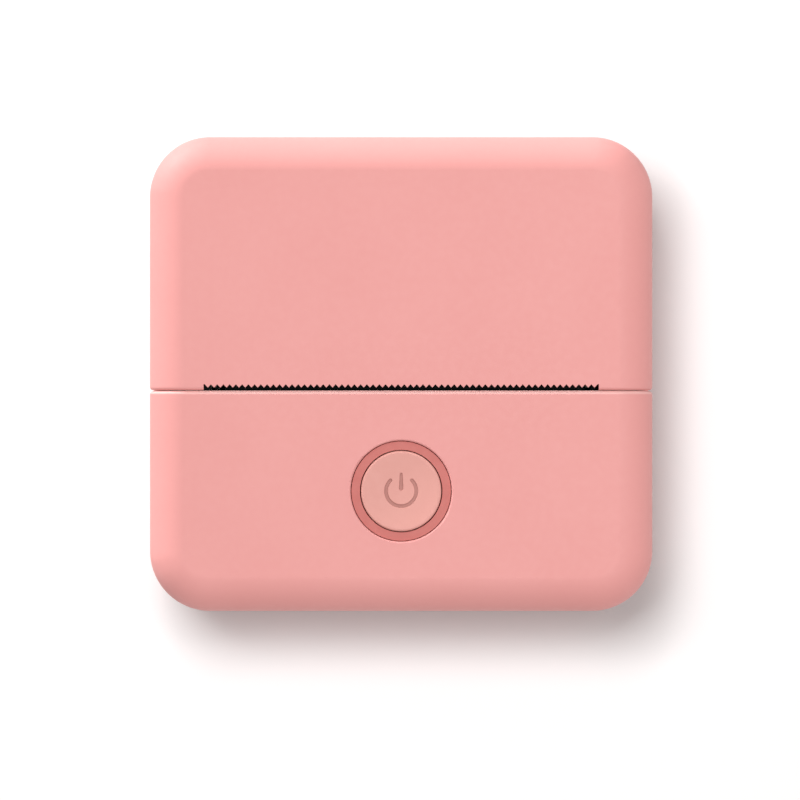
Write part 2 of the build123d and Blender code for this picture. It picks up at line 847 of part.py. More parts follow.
# Small screws that hold the bracket to the lid
small_screw = screw(
    small_head_radius, small_head_height, small_screw_radius, flange_thickness + lid_boss_height, 1
)
with BuildPart() as bracket_screws:
    with Locations(
        *[(x, y, flange_bottom_z) for x, y in lid_screw_places]
    ):
        add(small_screw)

bracket_screws.part.label = "bracket_screws"
export_step(bracket_screws.part, "parts/bracket_screws.step")


# Bushes that the roller turns in, flanged on their inner ends
bush_start_x = plate_inner_x - bush_plate_overlap
bush_end_x = bush_start_x + bush_length
with BuildPart() as roller_bushes:
    for side in (-1, 1):
        with BuildSketch(across(side * bush_start_x)):
            with Locations(roller_centre):
                Circle(bush_radius)
        extrude(amount=side * bush_length)
        with BuildSketch(across(side * (bush_start_x - bush_flange_length))):
            with Locations(roller_centre):
                Circle(bush_flange_radius)
        extrude(amount=side * bush_flange_length)
    with BuildSketch(across(-bush_end_x)):
        with Locations(roller_centre):
            Circle(journal_radius + running_clearance)
    extrude(amount=2 * bush_end_x, mode=Mode.SUBTRACT)

roller_bushes.part.label = "roller_bushes"
export_step(roller_bushes.part, "parts/roller_bushes.step")


# Steel core of the roller
journal_end_x = bush_end_x + clip_thickness + clip_land
with BuildPart() as roller_shaft:
    core_half = bush_start_x - bush_flange_length - core_end_gap
    with BuildSketch(across(-core_half)):
        with Locations(roller_centre):
            Circle(roller_core_radius)
    extrude(amount=2 * core_half)
    with BuildSketch(across(-gear_shaft_end_x)):
        with Locations(roller_centre):
            Circle(journal_radius)
    extrude(amount=gear_shaft_end_x + journal_end_x)
    chamfer(roller_shaft.faces().sort_by(Axis.X)[0].edges(), small_bevel)
    chamfer(roller_shaft.faces().sort_by(Axis.X)[-1].edges(), small_bevel)

roller_shaft.part.label = "roller_shaft"
export_step(roller_shaft.part, "parts/roller_shaft.step")


# Rubber sleeve that feeds the paper
with BuildPart() as roller_rubber:
    with BuildSketch(across(-roller_length / 2)):
        with Locations(roller_centre):
            Circle(roller_radius)
            Circle(roller_core_radius, mode=Mode.SUBTRACT)
    extrude(amount=roller_length)
    rims = roller_rubber.edges().filter_by(GeomType.CIRCLE)
    chamfer(rims.filter_by(lambda edge: edge.radius > roller_core_radius), roller_edge)

roller_rubber.part.label = "roller_rubber"
export_step(roller_rubber.part, "parts/roller_rubber.step")


def gear_disc(teeth, turn, centre, start_x, width):
    """A gear that stands at a (Y, Z) centre, from start_x towards the left wall."""
    with BuildPart() as disc:
        with BuildSketch(across(-start_x - width)):
            with Locations(centre):
                add(gear_sketch(teeth, turn))
        extrude(amount=width)
    return disc.part


# Gear on the roller's end
with BuildPart() as roller_gear:
    add(gear_disc(roller_gear_teeth, roller_gear_turn, roller_centre, outer_gear_x, gear_width))
    with BuildSketch(across(-outer_gear_x)):
        with Locations(roller_centre):
            Circle(journal_radius + roller_hub_wall)
    extrude(amount=outer_gear_x - bush_end_x - bush_end_gap)
    with BuildSketch(across(-gear_end_x)):
        with Locations(roller_centre):
            Circle(journal_radius)
    extrude(amount=gear_end_x, mode=Mode.SUBTRACT)

roller_gear.part.label = "roller_gear"
export_step(roller_gear.part, "parts/roller_gear.step")


def retaining_clip(centre, shaft_radius, radius, start_x, towards):
    """An open spring clip in a plane across the case, which hugs a shaft."""
    with BuildPart() as clip:
        with BuildSketch(across(start_x)):
            with Locations(centre):
                Circle(radius)
                Circle(shaft_radius, mode=Mode.SUBTRACT)
                with Locations((0, radius)):
                    Rectangle(clip_mouth_share * shaft_radius, 2 * radius, mode=Mode.SUBTRACT)
        extrude(amount=towards * clip_thickness)
    return clip.part


# Clip on the roller's free end
with BuildPart() as roller_clip:
    add(retaining_clip(roller_centre, journal_radius, clip_radius, bush_end_x + bush_end_gap, 1))

roller_clip.part.label = "roller_clip"
export_step(roller_clip.part, "parts/roller_clip.step")


# Frame of the mechanism: two plates with notches for the bushes, a shelf and a front wall
motor_ears = [place(*motor_centre, motor_ear_turn + half_turn, motor_ear_spacing) for half_turn in (0, 180)]
notch_half = bush_radius + notch_clearance
notch_rear_y = roller_y + notch_half + notch_wall


def plate_outline(low_part):
    """One side plate's face: the head's part, and on the left also the lobe that carries motor and gears."""
    with BuildSketch() as face:
        with BuildLine():
            Polyline(
                (frame_front_y, frame_shelf_z),
                (frame_front_y, frame_top_z),
                (notch_rear_y, frame_top_z),
                (notch_rear_y, roller_z - 3 * notch_half / 2),
                (head_face_y + plate_foot_step, frame_shelf_z),
                close=True,
            )
        make_face()
        if low_part:
            with BuildLine():
                Polyline(
                    (motor_ears[1][0] - motor_ear_radius, motor_ears[1][1] - motor_ear_radius),
                    (motor_ears[1][0] - motor_ear_radius, step_centre[1] + lobe_margin),
                    (step_centre[0], step_centre[1] + 2 * lobe_margin),
                    (drive_centre[0], frame_top_z - lobe_margin),
                    (drive_centre[0] + lobe_margin, drive_centre[1] - lobe_margin),
                    (motor_ears[0][0] + motor_ear_radius, motor_ears[0][1] + motor_ear_radius),
                    (motor_ears[0][0] + motor_ear_radius, motor_ears[0][1] - motor_ear_radius),
                    (motor_ears[0][0] - motor_ear_radius, motor_ears[0][1] - motor_ear_radius),
                    close=True,
                )
            make_face()
        # Notch, open along the way that the lid lifts the roller
        with Locations(roller_centre):
            Circle(notch_half, mode=Mode.SUBTRACT)
        mouth_middle = place(*roller_centre, lift_direction, roller_radius)
        with Locations(Location((*mouth_middle, 0), (0, 0, lift_direction))):
            Rectangle(2 * roller_radius, 2 * notch_half, mode=Mode.SUBTRACT)
        # Hole that the print head's pivot turns in
        with Locations((head_pivot_y, head_pivot_z)):
            Circle(head_pivot_radius + running_clearance, mode=Mode.SUBTRACT)
    return face.sketch


with BuildPart() as head_frame:
    with BuildSketch(across(plate_inner_x)):
        add(plate_outline(False))
    extrude(amount=plate_thickness)
    with BuildSketch(across(-plate_outer_x)):
        add(plate_outline(True))
        with Locations(drive_centre, step_centre):
            Circle(stud_radius, mode=Mode.SUBTRACT)
        with Locations(motor_centre):
            Circle(motor_boss_radius + running_clearance, mode=Mode.SUBTRACT)
        with Locations(*motor_ears):
            Circle(small_screw_radius, mode=Mode.SUBTRACT)
    extrude(amount=plate_thickness)
    with BuildSketch(across(-plate_inner_x)):
        with Locations((frame_front_y + shelf_thickness / 2, (frame_shelf_z + frame_top_z) / 2)):
            Rectangle(shelf_thickness, frame_top_z - frame_shelf_z)
        with Locations(((frame_front_y + heat_sink_rear_y) / 2, frame_shelf_z + shelf_thickness / 2)):
            Rectangle(heat_sink_rear_y - frame_front_y, shelf_thickness)
    extrude(amount=2 * plate_inner_x)
    # Slot in the front wall for the head's flat cable
    cable_slot_z = frame_shelf_z + shelf_thickness + cable_slot_height / 2
    with BuildSketch(Plane.XZ.offset(-frame_front_y - 2 * shelf_thickness)):
        with Locations((0, cable_slot_z)):
            Rectangle(cable_width + 2 * connector_side, cable_slot_height)
    extrude(amount=3 * shelf_thickness, mode=Mode.SUBTRACT)
    # Peg that the middle of the spring strip hangs on
    with BuildSketch(Plane.XZ.offset(-frame_front_y - shelf_thickness)):
        with Locations((0, spring_z)):
            Circle(spring_peg_radius)
    extrude(amount=-4 * spring_strip_thickness)
    # Screw holes in the shelf
    with BuildSketch(Plane.XY.offset(frame_shelf_z)):
        with Locations(*frame_screw_places):
            Circle(small_screw_radius + screw_clearance)
    extrude(amount=shelf_thickness, mode=Mode.SUBTRACT)

head_frame.part.label = "head_frame"
export_step(head_frame.part, "parts/head_frame.step")


# Aluminium backing of the print head, with its pivot stubs
with BuildPart() as heat_sink:
    with BuildSketch(Plane.XY.offset(head_bottom_z)):
        with Locations((0, (heat_sink_front_y + heat_sink_rear_y) / 2)):
            Rectangle(heat_sink_width, heat_sink_thickness)
    extrude(amount=head_height)
    chamfer(heat_sink.edges().filter_by(Axis.X).group_by(Axis.Y)[0].sort_by(Axis.Z)[-1], heat_sink_bevel)
    # Grooves that shed the head's heat
    with BuildSketch(Plane.XZ.offset(-heat_sink_front_y)):
        with Locations((0, head_bottom_z + head_height / 2)):
            with GridLocations(sink_groove_spacing, 1, sink_groove_count, 1):
                SlotOverall(sink_groove_length, sink_groove_width, rotation=90)
    extrude(amount=-heat_sink_thickness / 3, mode=Mode.SUBTRACT)
    with BuildSketch(across(-plate_outer_x)):
        with Locations((head_pivot_y, head_pivot_z)):
            Circle(head_pivot_radius)
    extrude(amount=2 * plate_outer_x)

heat_sink.part.label = "heat_sink"
export_step(heat_sink.part, "parts/heat_sink.step")


# Ceramic plate that prints, with the raised line of its heating dots
with BuildPart() as print_head:
    with BuildSketch(Plane.XY.offset(head_bottom_z - head_plate_drop)):
        with Locations((0, head_face_y - head_plate_thickness / 2)):
            Rectangle(head_plate_width, head_plate_thickness)
    extrude(amount=head_height + head_plate_drop / 2)

print_head.part.label = "print_head"
export_step(print_head.part, "parts/print_head.step")


# Driver chips on the print head, under one bar of black resin
with BuildPart() as head_driver_bar:
    with BuildSketch(Plane.XY.offset(head_pivot_z + head_pivot_radius)):
        with Locations((0, head_face_y + head_driver_depth / 2)):
            Rectangle(head_driver_share * head_plate_width, head_driver_depth)
    extrude(amount=head_driver_height)
    fillet(head_driver_bar.faces().sort_by(Axis.Y)[-1].edges().filter_by(Axis.X), small_bevel)

head_driver_bar.part.label = "head_driver_bar"
export_step(head_driver_bar.part, "parts/head_driver_bar.step")


# Bowed strip of spring steel that presses the head against the roller
with BuildPart() as head_spring:
    spring_wall_y = frame_front_y + shelf_thickness
    with BuildSketch(Plane.XY.offset(spring_z - spring_strip_width / 2)):
        with BuildLine():
            ThreePointArc(
                (-spring_half_span, heat_sink_front_y - spring_strip_thickness),
                (0, spring_wall_y + spring_strip_thickness / 2),
                (spring_half_span, heat_sink_front_y - spring_strip_thickness),
            )
            offset(amount=spring_strip_thickness / 2, side=Side.BOTH)
        make_face()
    extrude(amount=spring_strip_width)
    with BuildSketch(Plane.XZ.offset(-spring_wall_y)):
        with Locations((0, spring_z)):
            Circle(spring_peg_radius + running_clearance)
    extrude(amount=-4 * spring_strip_thickness, mode=Mode.SUBTRACT)

head_spring.part.label = "head_spring"
export_step(head_spring.part, "parts/head_spring.step")


# Stepper motor, screwed to the inside of the left plate by its two ears
ear_span = 2 * (motor_ear_spacing + motor_ear_radius)
with BuildPart() as stepper_motor:
    with BuildSketch(across(-plate_inner_x)):
        with Locations(motor_centre):
            Circle(motor_radius)
    extrude(amount=motor_length)
    chamfer(stepper_motor.faces().sort_by(Axis.X)[-1].edges(), motor_can_bevel)
    with BuildSketch(across(-plate_inner_x)):
        with Locations(motor_centre):
            SlotOverall(ear_span, 2 * motor_ear_radius, rotation=motor_ear_turn)
    extrude(amount=motor_flange_thickness)
    with BuildSketch(across(-plate_inner_x)):
        with Locations(motor_centre):
            Circle(motor_boss_radius)
    extrude(amount=-plate_thickness)
    with BuildSketch(across(-plate_outer_x)):
        with Locations(motor_centre):
            Circle(motor_shaft_radius + running_clearance)
    extrude(amount=plate_thickness + motor_length / 2, mode=Mode.SUBTRACT)
    with BuildSketch(across(-plate_inner_x)):
        with Locations(*motor_ears):
            Circle(small_screw_radius)
    extrude(amount=motor_flange_thickness, mode=Mode.SUBTRACT)

stepper_motor.part.label = "stepper_motor"
export_step(stepper_motor.part, "parts/stepper_motor.step")


# Screws through the motor's ears into the plate
with BuildPart() as motor_screws:
    for ear_y, ear_z in motor_ears:
        head_x = -plate_inner_x + motor_flange_thickness
        with BuildSketch(across(head_x)):
            with Locations((ear_y, ear_z)):
                Circle(small_head_radius)
        extrude(amount=small_head_height)
        with BuildSketch(across(head_x)):
            with Locations((ear_y, ear_z)):
                Circle(small_screw_radius)
        extrude(amount=-motor_flange_thickness - plate_thickness)
    chamfer(motor_screws.edges().group_by(Axis.X)[-1], head_bevel_share * small_head_height)

motor_screws.part.label = "motor_screws"
export_step(motor_screws.part, "parts/motor_screws.step")


# The motor's turning shaft and its pinion
motor_shaft_end_x = inner_gear_x + gear_width + motor_shaft_overhang
with BuildPart() as motor_shaft:
    with BuildSketch(across(-motor_shaft_end_x)):
        with Locations(motor_centre):
            Circle(motor_shaft_radius)
    extrude(amount=motor_shaft_end_x - plate_inner_x + motor_length / 2 - motor_shaft_overhang)

motor_shaft.part.label = "motor_shaft"
export_step(motor_shaft.part, "parts/motor_shaft.step")

with BuildPart() as motor_pinion:
    add(gear_disc(motor_pinion_teeth, motor_pinion_turn, motor_centre, inner_gear_x, gear_width))
    with BuildSketch(across(-motor_shaft_end_x)):
        with Locations(motor_centre):
            Circle(motor_shaft_radius)
    extrude(amount=motor_shaft_end_x, mode=Mode.SUBTRACT)

motor_pinion.part.label = "motor_pinion"
export_step(motor_pinion.part, "parts/motor_pinion.step")


# Studs that the middle gears turn on, riveted into the left plate
with BuildPart() as gear_studs:
    with BuildSketch(across(-gear_shaft_end_x)):
        with Locations(drive_centre, step_centre):
            Circle(stud_radius)
    extrude(amount=gear_shaft_end_x - plate_inner_x)

gear_studs.part.label = "gear_studs"
export_step(gear_studs.part, "parts/gear_studs.step")


def idle_bore(centre):
    """The running hole of a gear that turns on a stud."""
    with BuildPart() as bore:
        with BuildSketch(across(-gear_end_x)):
            with Locations(centre):
                Circle(stud_radius + running_clearance)
        extrude(amount=gear_end_x)
    return bore.part


def web_recess(centre, inner_radius, outer_radius, face_x):
    """The shallow ring moulded out of a gear's left face, between its hub and its rim."""
    with BuildPart() as ring:
        with BuildSketch(across(-face_x)):
            with Locations(centre):
                Circle(outer_radius)
                Circle(inner_radius, mode=Mode.SUBTRACT)
        extrude(amount=gear_web_recess)
    return ring.part


# Two-step gear between motor and drive gear
with BuildPart() as step_gear:
    add(gear_disc(first_wheel_teeth, first_wheel_turn, step_centre, inner_gear_x, gear_width))
    second_start_x = inner_gear_x + gear_width
    add(
        gear_disc(
            second_pinion_teeth, second_pinion_turn, step_centre, second_start_x, gear_end_x - second_start_x
        )
    )
    with BuildSketch(across(-inner_gear_x)):
        with Locations(step_centre):
            Circle(gear_hub_radius)
    extrude(amount=inner_gear_gap - gear_face_gap)
    first_rim = pitch_radius(first_wheel_teeth) - gear_rim
    pinion_foot = pitch_radius(second_pinion_teeth) + gear_hub_wall
    add(web_recess(step_centre, pinion_foot, first_rim, second_start_x), mode=Mode.SUBTRACT)
    add(idle_bore(step_centre), mode=Mode.SUBTRACT)

step_gear.part.label = "step_gear"
export_step(step_gear.part, "parts/step_gear.step")


# Drive gear, which the roller's gear drops onto when the lid shuts
with BuildPart() as drive_gear:
    add(gear_disc(drive_gear_teeth, drive_gear_turn, drive_centre, outer_gear_x, gear_width))
    with BuildSketch(across(-outer_gear_x)):
        with Locations(drive_centre):
            Circle(gear_hub_radius)
    extrude(amount=outer_gear_x - plate_outer_x - gear_face_gap)
    drive_rim = pitch_radius(drive_gear_teeth) - gear_rim
    add(web_recess(drive_centre, stud_radius + gear_hub_wall, drive_rim, gear_end_x), mode=Mode.SUBTRACT)
    add(idle_bore(drive_centre), mode=Mode.SUBTRACT)

drive_gear.part.label = "drive_gear"
export_step(drive_gear.part, "parts/drive_gear.step")


# Inner chassis: the trough and end walls of the roll bay, side decks, and a shelf for the frame
with BuildPart() as chassis:
    with BuildSketch(across(-bay_half_width)):
        with Locations((bay_y, bay_z)):
            Circle(outer_bay)
        with BuildLine():
            Polyline(
                (bay_front_y, bay_z),
                (bay_front_y, bay_front_height),
                (bay_y, bay_front_height),
                (bay_y, bay_rear_height),
                (bay_y + outer_bay, bay_rear_height),
                (bay_y + outer_bay, bay_z),
                close=True,
            )
        make_face()
        with Locations((bay_y, bay_z)):
            Circle(bay_radius, mode=Mode.SUBTRACT)
        with Locations((bay_y, bay_z + bay_radius)):
            Rectangle(2 * bay_radius, 2 * bay_radius, mode=Mode.SUBTRACT)
    extrude(amount=2 * bay_half_width)
    # End walls
    for side in (-1, 1):
        with BuildSketch(across(side * bay_half_width)):
            with BuildLine():
                Polyline(
                    (bay_front_y, case_floor_z),
                    (bay_front_y, bay_front_height),
                    (bay_front_y + bay_horn_depth, bay_front_height),
                    (bay_front_y + 3 * bay_horn_depth, bay_end_height),
                    (bay_y + outer_bay, bay_rear_height),
                    (bay_y + outer_bay, case_floor_z),
                    close=True,
                )
            make_face()
        extrude(amount=side * chassis_wall)
    # Decks that cover the sides
    deck_rear_y = bay_y + outer_bay - chassis_wall
    with BuildSketch(Plane.XY.offset(deck_z)):
        with Locations((0, (deck_front_y + deck_rear_y) / 2)):
            Rectangle(body_width, deck_rear_y - deck_front_y)
            Rectangle(2 * bay_half_width + chassis_wall, deck_rear_y - deck_front_y, mode=Mode.SUBTRACT)
    extrude(amount=chassis_wall)
    # Skirts under the front edge of the decks
    with BuildSketch(Plane.XY.offset(rear_boss_z + skirt_rise)):
        for side in (-1, 1):
            with Locations((side * (bay_half_width + body_width / 2) / 2, deck_front_y + chassis_wall / 2)):
                Rectangle(body_width / 2 - bay_half_width, chassis_wall)
    extrude(amount=deck_z - rear_boss_z - skirt_rise)
    # Pillars that the rear screws bite into
    with BuildSketch(Plane.XY.offset(rear_boss_z + boss_gap)):
        with Locations((-case_screw_x, rear_screw_y), (case_screw_x, rear_screw_y)):
            Circle(boss_radius)
    extrude(amount=deck_z - rear_boss_z)
    # Shelf under the head's frame, on ribs down to the case's floor
    shelf_rib_spacing = (shelf_end_x - shelf_start_x - chassis_wall) / (shelf_rib_count - 1)
    with BuildSketch(Plane.XY.offset(frame_shelf_z - shelf_thickness)):
        with Locations(((shelf_start_x + shelf_end_x) / 2, (frame_front_y + shelf_rear_y) / 2)):
            Rectangle(shelf_end_x - shelf_start_x, shelf_rear_y - frame_front_y)
    extrude(amount=shelf_thickness)
    with BuildSketch(Plane.XY.offset(case_floor_z)):
        with Locations(((shelf_start_x + shelf_end_x) / 2, (frame_front_y + shelf_rear_y) / 2)):
            with GridLocations(shelf_rib_spacing, 1, shelf_rib_count, 1):
                Rectangle(chassis_wall, shelf_rear_y - frame_front_y)
    extrude(amount=frame_shelf_z - case_floor_z)
    with BuildSketch(Plane.XY.offset(frame_shelf_z - shelf_boss_height)):
        with Locations(*frame_screw_places):
            Circle(small_boss_radius)
    extrude(amount=shelf_boss_height)
    add(deck_block, mode=Mode.INTERSECT)
    # Back to the floor, which the trimming block stands above
    with BuildSketch(Plane.XY.offset(case_floor_z)):
        for side in (-1, 1):
            with Locations((side * (bay_half_width + chassis_wall / 2), bay_y)):
                Rectangle(chassis_wall, 2 * bay_radius)
    extrude(amount=2 * deck_clearance)
    with BuildSketch(Plane.XY.offset(rear_boss_z)):
        with Locations((-case_screw_x, rear_screw_y), (case_screw_x, rear_screw_y)):
            Circle(case_screw_shank_radius)
    extrude(amount=case_screw_length - boss_land, mode=Mode.SUBTRACT)
    with BuildSketch(Plane.XY.offset(frame_shelf_z - shelf_screw_depth)):
        with Locations(*frame_screw_places):
            Circle(small_screw_radius)
    extrude(amount=shelf_screw_depth, mode=Mode.SUBTRACT)

chassis.part.label = "chassis"
export_step(chassis.part, "parts/chassis.step")


# Screws that hold the frame on the chassis shelf
with BuildPart() as frame_screws:
    with Locations(*[(x, y, frame_shelf_z + shelf_thickness) for x, y in frame_screw_places]):
        add(screw(small_head_radius, small_head_height, small_screw_radius, small_screw_length, -1))

frame_screws.part.label = "frame_screws"
export_step(frame_screws.part, "parts/frame_screws.step")


# Screws that close the case from below
case_screw = screw(
    case_screw_head_radius, case_screw_head_height, case_screw_shank_radius, case_screw_length, 1
)
with BuildPart() as case_screws:
    for place_y, boss_top in screw_places:
        with Locations(
            (-case_screw_x, place_y, boss_top - boss_land), (case_screw_x, place_y, boss_top - boss_land)
        ):
            add(case_screw)

case_screws.part.label = "case_screws"
export_step(case_screws.part, "parts/case_screws.step")


# Rubber feet
with BuildPart() as feet:
    with BuildSketch(Plane.XY):
        with GridLocations(2 * foot_x, 2 * foot_y, 2, 2):
            Circle(foot_radius)
    extrude(amount=foot_height + foot_recess)
    chamfer(feet.edges().group_by(Axis.Z)[0], foot_bevel)

feet.part.label = "feet"
export_step(feet.part, "parts/feet.step")


# Ring round the button, held from below by its flange
with BuildPart() as button_ring:
    with BuildSketch(Plane.XY.offset(ring_top_z - ring_height)):
        with Locations((0, button_y)):
            Circle(ring_radius)
    extrude(amount=ring_height)
    with BuildSketch(Plane.XY.offset(case_roof_z - ring_gap - ring_flange_height)):
        with Locations((0, button_y)):
            Circle(ring_flange_radius)
    extrude(amount=ring_flange_height)
    with BuildSketch(Plane.XY.offset(ring_top_z - ring_height)):
        with Locations((0, button_y)):
            Circle(button_radius + button_gap)
    extrude(amount=ring_height, mode=Mode.SUBTRACT)

button_ring.part.label = "button_ring"
export_step(button_ring.part, "parts/button_ring.step")


# Power button, dished on top, with the stem that works the switch
dish_radius = (button_radius**2 + button_dish_depth**2) / (2 * button_dish_depth)
with BuildPart() as power_button:
    with BuildSketch(Plane.XY.offset(button_flange_z)):
        with Locations((0, button_y)):
            Circle(button_radius)
    extrude(amount=body_height - button_flange_z)
    fillet(power_button.faces().sort_by(Axis.Z)[-1].edges(), button_edge_round)
    with Locations((0, button_y, body_height - button_dish_depth + dish_radius)):
        Sphere(dish_radius, mode=Mode.SUBTRACT)
    with BuildSketch(Plane.XY.offset(button_flange_z - button_flange_height)):
        with Locations((0, button_y)):
            Circle(button_flange_radius)
    extrude(amount=button_flange_height)
    with BuildSketch(Plane.XY.offset(plunger_top_z)):
        with Locations((0, button_y)):
            Circle(button_stem_radius)
    extrude(amount=button_flange_z - plunger_top_z)

power_button.part.label = "power_button"
export_step(power_button.part, "parts/power_button.step")


# Switch under the button, and its plunger
with BuildPart() as tact_switch:
    with BuildSketch(Plane.XY.offset(board_top_z)):
        with Locations((0, button_y)):
            Rectangle(switch_size, switch_size)
    extrude(amount=switch_height)
    with BuildSketch(Plane.XY.offset(board_top_z + switch_well)):
        with Locations((0, button_y)):
            Circle(plunger_radius + plunger_clearance)
    extrude(amount=switch_height, mode=Mode.SUBTRACT)

tact_switch.part.label = "tact_switch"
export_step(tact_switch.part, "parts/tact_switch.step")

with BuildPart() as switch_plunger:
    with BuildSketch(Plane.XY.offset(plunger_bottom_z)):
        with Locations((0, button_y)):
            Circle(plunger_radius)
    extrude(amount=plunger_top_z - plunger_bottom_z)

switch_plunger.part.label = "switch_plunger"
export_step(switch_plunger.part, "parts/switch_plunger.step")


# Circuit board
with BuildPart() as main_board:
    with BuildSketch(Plane.XY.offset(board_z)):
        with Locations(((board_left_x + board_right_x) / 2, (board_front_y + board_rear_y) / 2)):
            Rectangle(board_right_x - board_left_x, board_rear_y - board_front_y)
        with Locations((case_screw_x, front_screw_y)):
            Circle(board_notch_radius, mode=Mode.SUBTRACT)
        with Locations(*board_boss_places):
            Circle(small_screw_radius + screw_clearance, mode=Mode.SUBTRACT)
    extrude(amount=board_thickness)

main_board.part.label = "main_board"
export_step(main_board.part, "parts/main_board.step")


# Chips and capacitors soldered on the board, and the battery's plug under it
board_middle_y = (board_front_y + board_rear_y) / 2
with BuildPart() as board_chips:
    for x, y, side in (
        (controller_x, board_middle_y, controller_side),
        (-controller_x, board_middle_y, driver_side),
        (-charger_x, board_middle_y, charger_side),
    ):
        with Locations((x, y, board_top_z)):
            Box(side, side, chip_height, align=(Align.CENTER, Align.CENTER, Align.MIN))
    with Locations((0, board_front_y + capacitor_inset, board_top_z)):
        with GridLocations(capacitor_spacing, 1, 2, 1):
            Box(*capacitor_size, align=(Align.CENTER, Align.CENTER, Align.MIN))
    with Locations((board_left_x + plug_inset, board_middle_y, board_z)):
        Box(*plug_size, align=(Align.CENTER, Align.CENTER, Align.MAX))

board_chips.part.label = "board_chips"
export_step(board_chips.part, "parts/board_chips.step")


# Screws that hold the board to the front casing
with BuildPart() as board_screws:
    with Locations(*[(x, y, board_z) for x, y in board_boss_places]):
        add(screw(small_head_radius, small_head_height, small_screw_radius, small_screw_length, 1))

board_screws.part.label = "board_screws"
export_step(board_screws.part, "parts/board_screws.step")


# Charging socket: folded steel shell and the tongue inside it
with BuildPart() as usb_socket:
    with BuildSketch(across(socket_mouth_x - socket_depth)):
        with Locations((socket_y, socket_z)):
            SlotOverall(socket_width, socket_height)
    extrude(amount=socket_depth)
    with BuildSketch(across(socket_mouth_x - socket_depth + socket_back)):
        with Locations((socket_y, socket_z)):
            SlotOverall(socket_width - 2 * socket_sheet, socket_height - 2 * socket_sheet)
    extrude(amount=socket_depth, mode=Mode.SUBTRACT)

usb_socket.part.label = "usb_socket"
export_step(usb_socket.part, "parts/usb_socket.step")

with BuildPart() as socket_tongue:
    with BuildSketch(across(socket_mouth_x - socket_depth + socket_back)):
        with Locations((socket_y, socket_z)):
            Rectangle(tongue_width, tongue_thickness)
    extrude(amount=socket_depth - socket_back - tongue_setback)
    chamfer(socket_tongue.faces().sort_by(Axis.X)[-1].edges().filter_by(Axis.Y), tongue_bevel)

socket_tongue.part.label = "socket_tongue"
export_step(socket_tongue.part, "parts/socket_tongue.step")


# Battery, flat in the front of the case
with BuildPart() as battery:
    with BuildSketch(across(cell_left_x)):
        with Locations((cell_centre_y, case_floor_z + cell_height / 2)):
            RectangleRounded(cell_width, cell_height, cell_round)
    extrude(amount=cell_length)

battery.part.label = "battery"
export_step(battery.part, "parts/battery.step")


# Flat cable from the print head to the connector under the board
with BuildPart() as head_cable:
    cable_low_z = frame_shelf_z + shelf_thickness + cable_clearance
    cable_front_y = frame_front_y - cable_clearance
    cable_head_y = heat_sink_rear_y - cable_thickness / 2 - cable_gap
    with BuildSketch(across(-cable_width / 2)):
        with BuildLine():
            FilletPolyline(
                (cable_head_y, head_bottom_z - cable_gap),
                (cable_head_y, cable_low_z),
                (cable_front_y, cable_low_z),
                (cable_front_y, cable_end_z),
                (connector_y + cable_thickness, cable_end_z),
                radius=cable_bend,
            )
            offset(amount=cable_thickness / 2, side=Side.BOTH)
        make_face()
    extrude(amount=cable_width)

head_cable.part.label = "head_cable"
export_step(head_cable.part, "parts/head_cable.step")


# Connector for that cable, on the underside of the board
with BuildPart() as cable_connector:
    with BuildSketch(across(-cable_width / 2 - connector_side)):
        with Locations((connector_y, board_z - connector_height / 2)):
            Rectangle(connector_depth, connector_height)
        with Locations((connector_y + connector_depth / 2, cable_end_z)):
            Rectangle(connector_depth, cable_thickness + cable_gap, mode=Mode.SUBTRACT)
    extrude(amount=cable_width + 2 * connector_side)

cable_connector.part.label = "cable_connector"
export_step(cable_connector.part, "parts/cable_connector.step")


# Optical sensor that sees the paper, set in the guide in front of the roll
with BuildPart() as paper_sensor:
    with Locations((sensor_x, bay_y - bay_radius, bay_z + sensor_rise)):
        Box(*sensor_size, align=(Align.CENTER, Align.MIN, Align.MIN))
    chamfer(paper_sensor.edges().filter_by(Axis.Y), sensor_bevel)

paper_sensor.part.label = "paper_sensor"
export_step(paper_sensor.part, "parts/paper_sensor.step")
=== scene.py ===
# %% [markdown]
# A pocket thermal printer lies on its back and is seen from straight above. Its case is soft pink plastic: a hinged
# lid with a toothed tear edge, a front cover with a power button in a sunk ring, and a base with rubber feet. Under
# the lid are a rubber roller, a print head and a small gear train.
#
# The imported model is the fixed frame: every piece keeps its place and size. This script gives each surface its
# finish, and remodels the pieces whose small roundings and grooves show in the light.

# %% Load the fixed frame
import bpy
import json
import math
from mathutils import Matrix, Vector


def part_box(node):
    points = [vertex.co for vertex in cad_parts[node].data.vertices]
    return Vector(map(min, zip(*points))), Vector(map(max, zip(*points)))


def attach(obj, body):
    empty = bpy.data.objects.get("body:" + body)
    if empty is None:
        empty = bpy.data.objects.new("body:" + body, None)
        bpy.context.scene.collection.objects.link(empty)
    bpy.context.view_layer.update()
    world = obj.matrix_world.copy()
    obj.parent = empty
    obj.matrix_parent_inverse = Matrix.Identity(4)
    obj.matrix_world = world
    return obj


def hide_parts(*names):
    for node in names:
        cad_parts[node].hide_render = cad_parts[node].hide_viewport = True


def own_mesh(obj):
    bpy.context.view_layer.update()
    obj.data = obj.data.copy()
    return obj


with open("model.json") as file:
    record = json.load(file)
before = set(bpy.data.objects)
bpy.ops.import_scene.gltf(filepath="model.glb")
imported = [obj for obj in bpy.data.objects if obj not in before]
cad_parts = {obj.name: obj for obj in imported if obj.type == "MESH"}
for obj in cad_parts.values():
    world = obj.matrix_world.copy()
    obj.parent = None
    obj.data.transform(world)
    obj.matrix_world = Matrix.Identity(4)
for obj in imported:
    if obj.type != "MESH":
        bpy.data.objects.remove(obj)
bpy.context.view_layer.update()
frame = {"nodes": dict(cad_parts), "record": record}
MM = 0.001

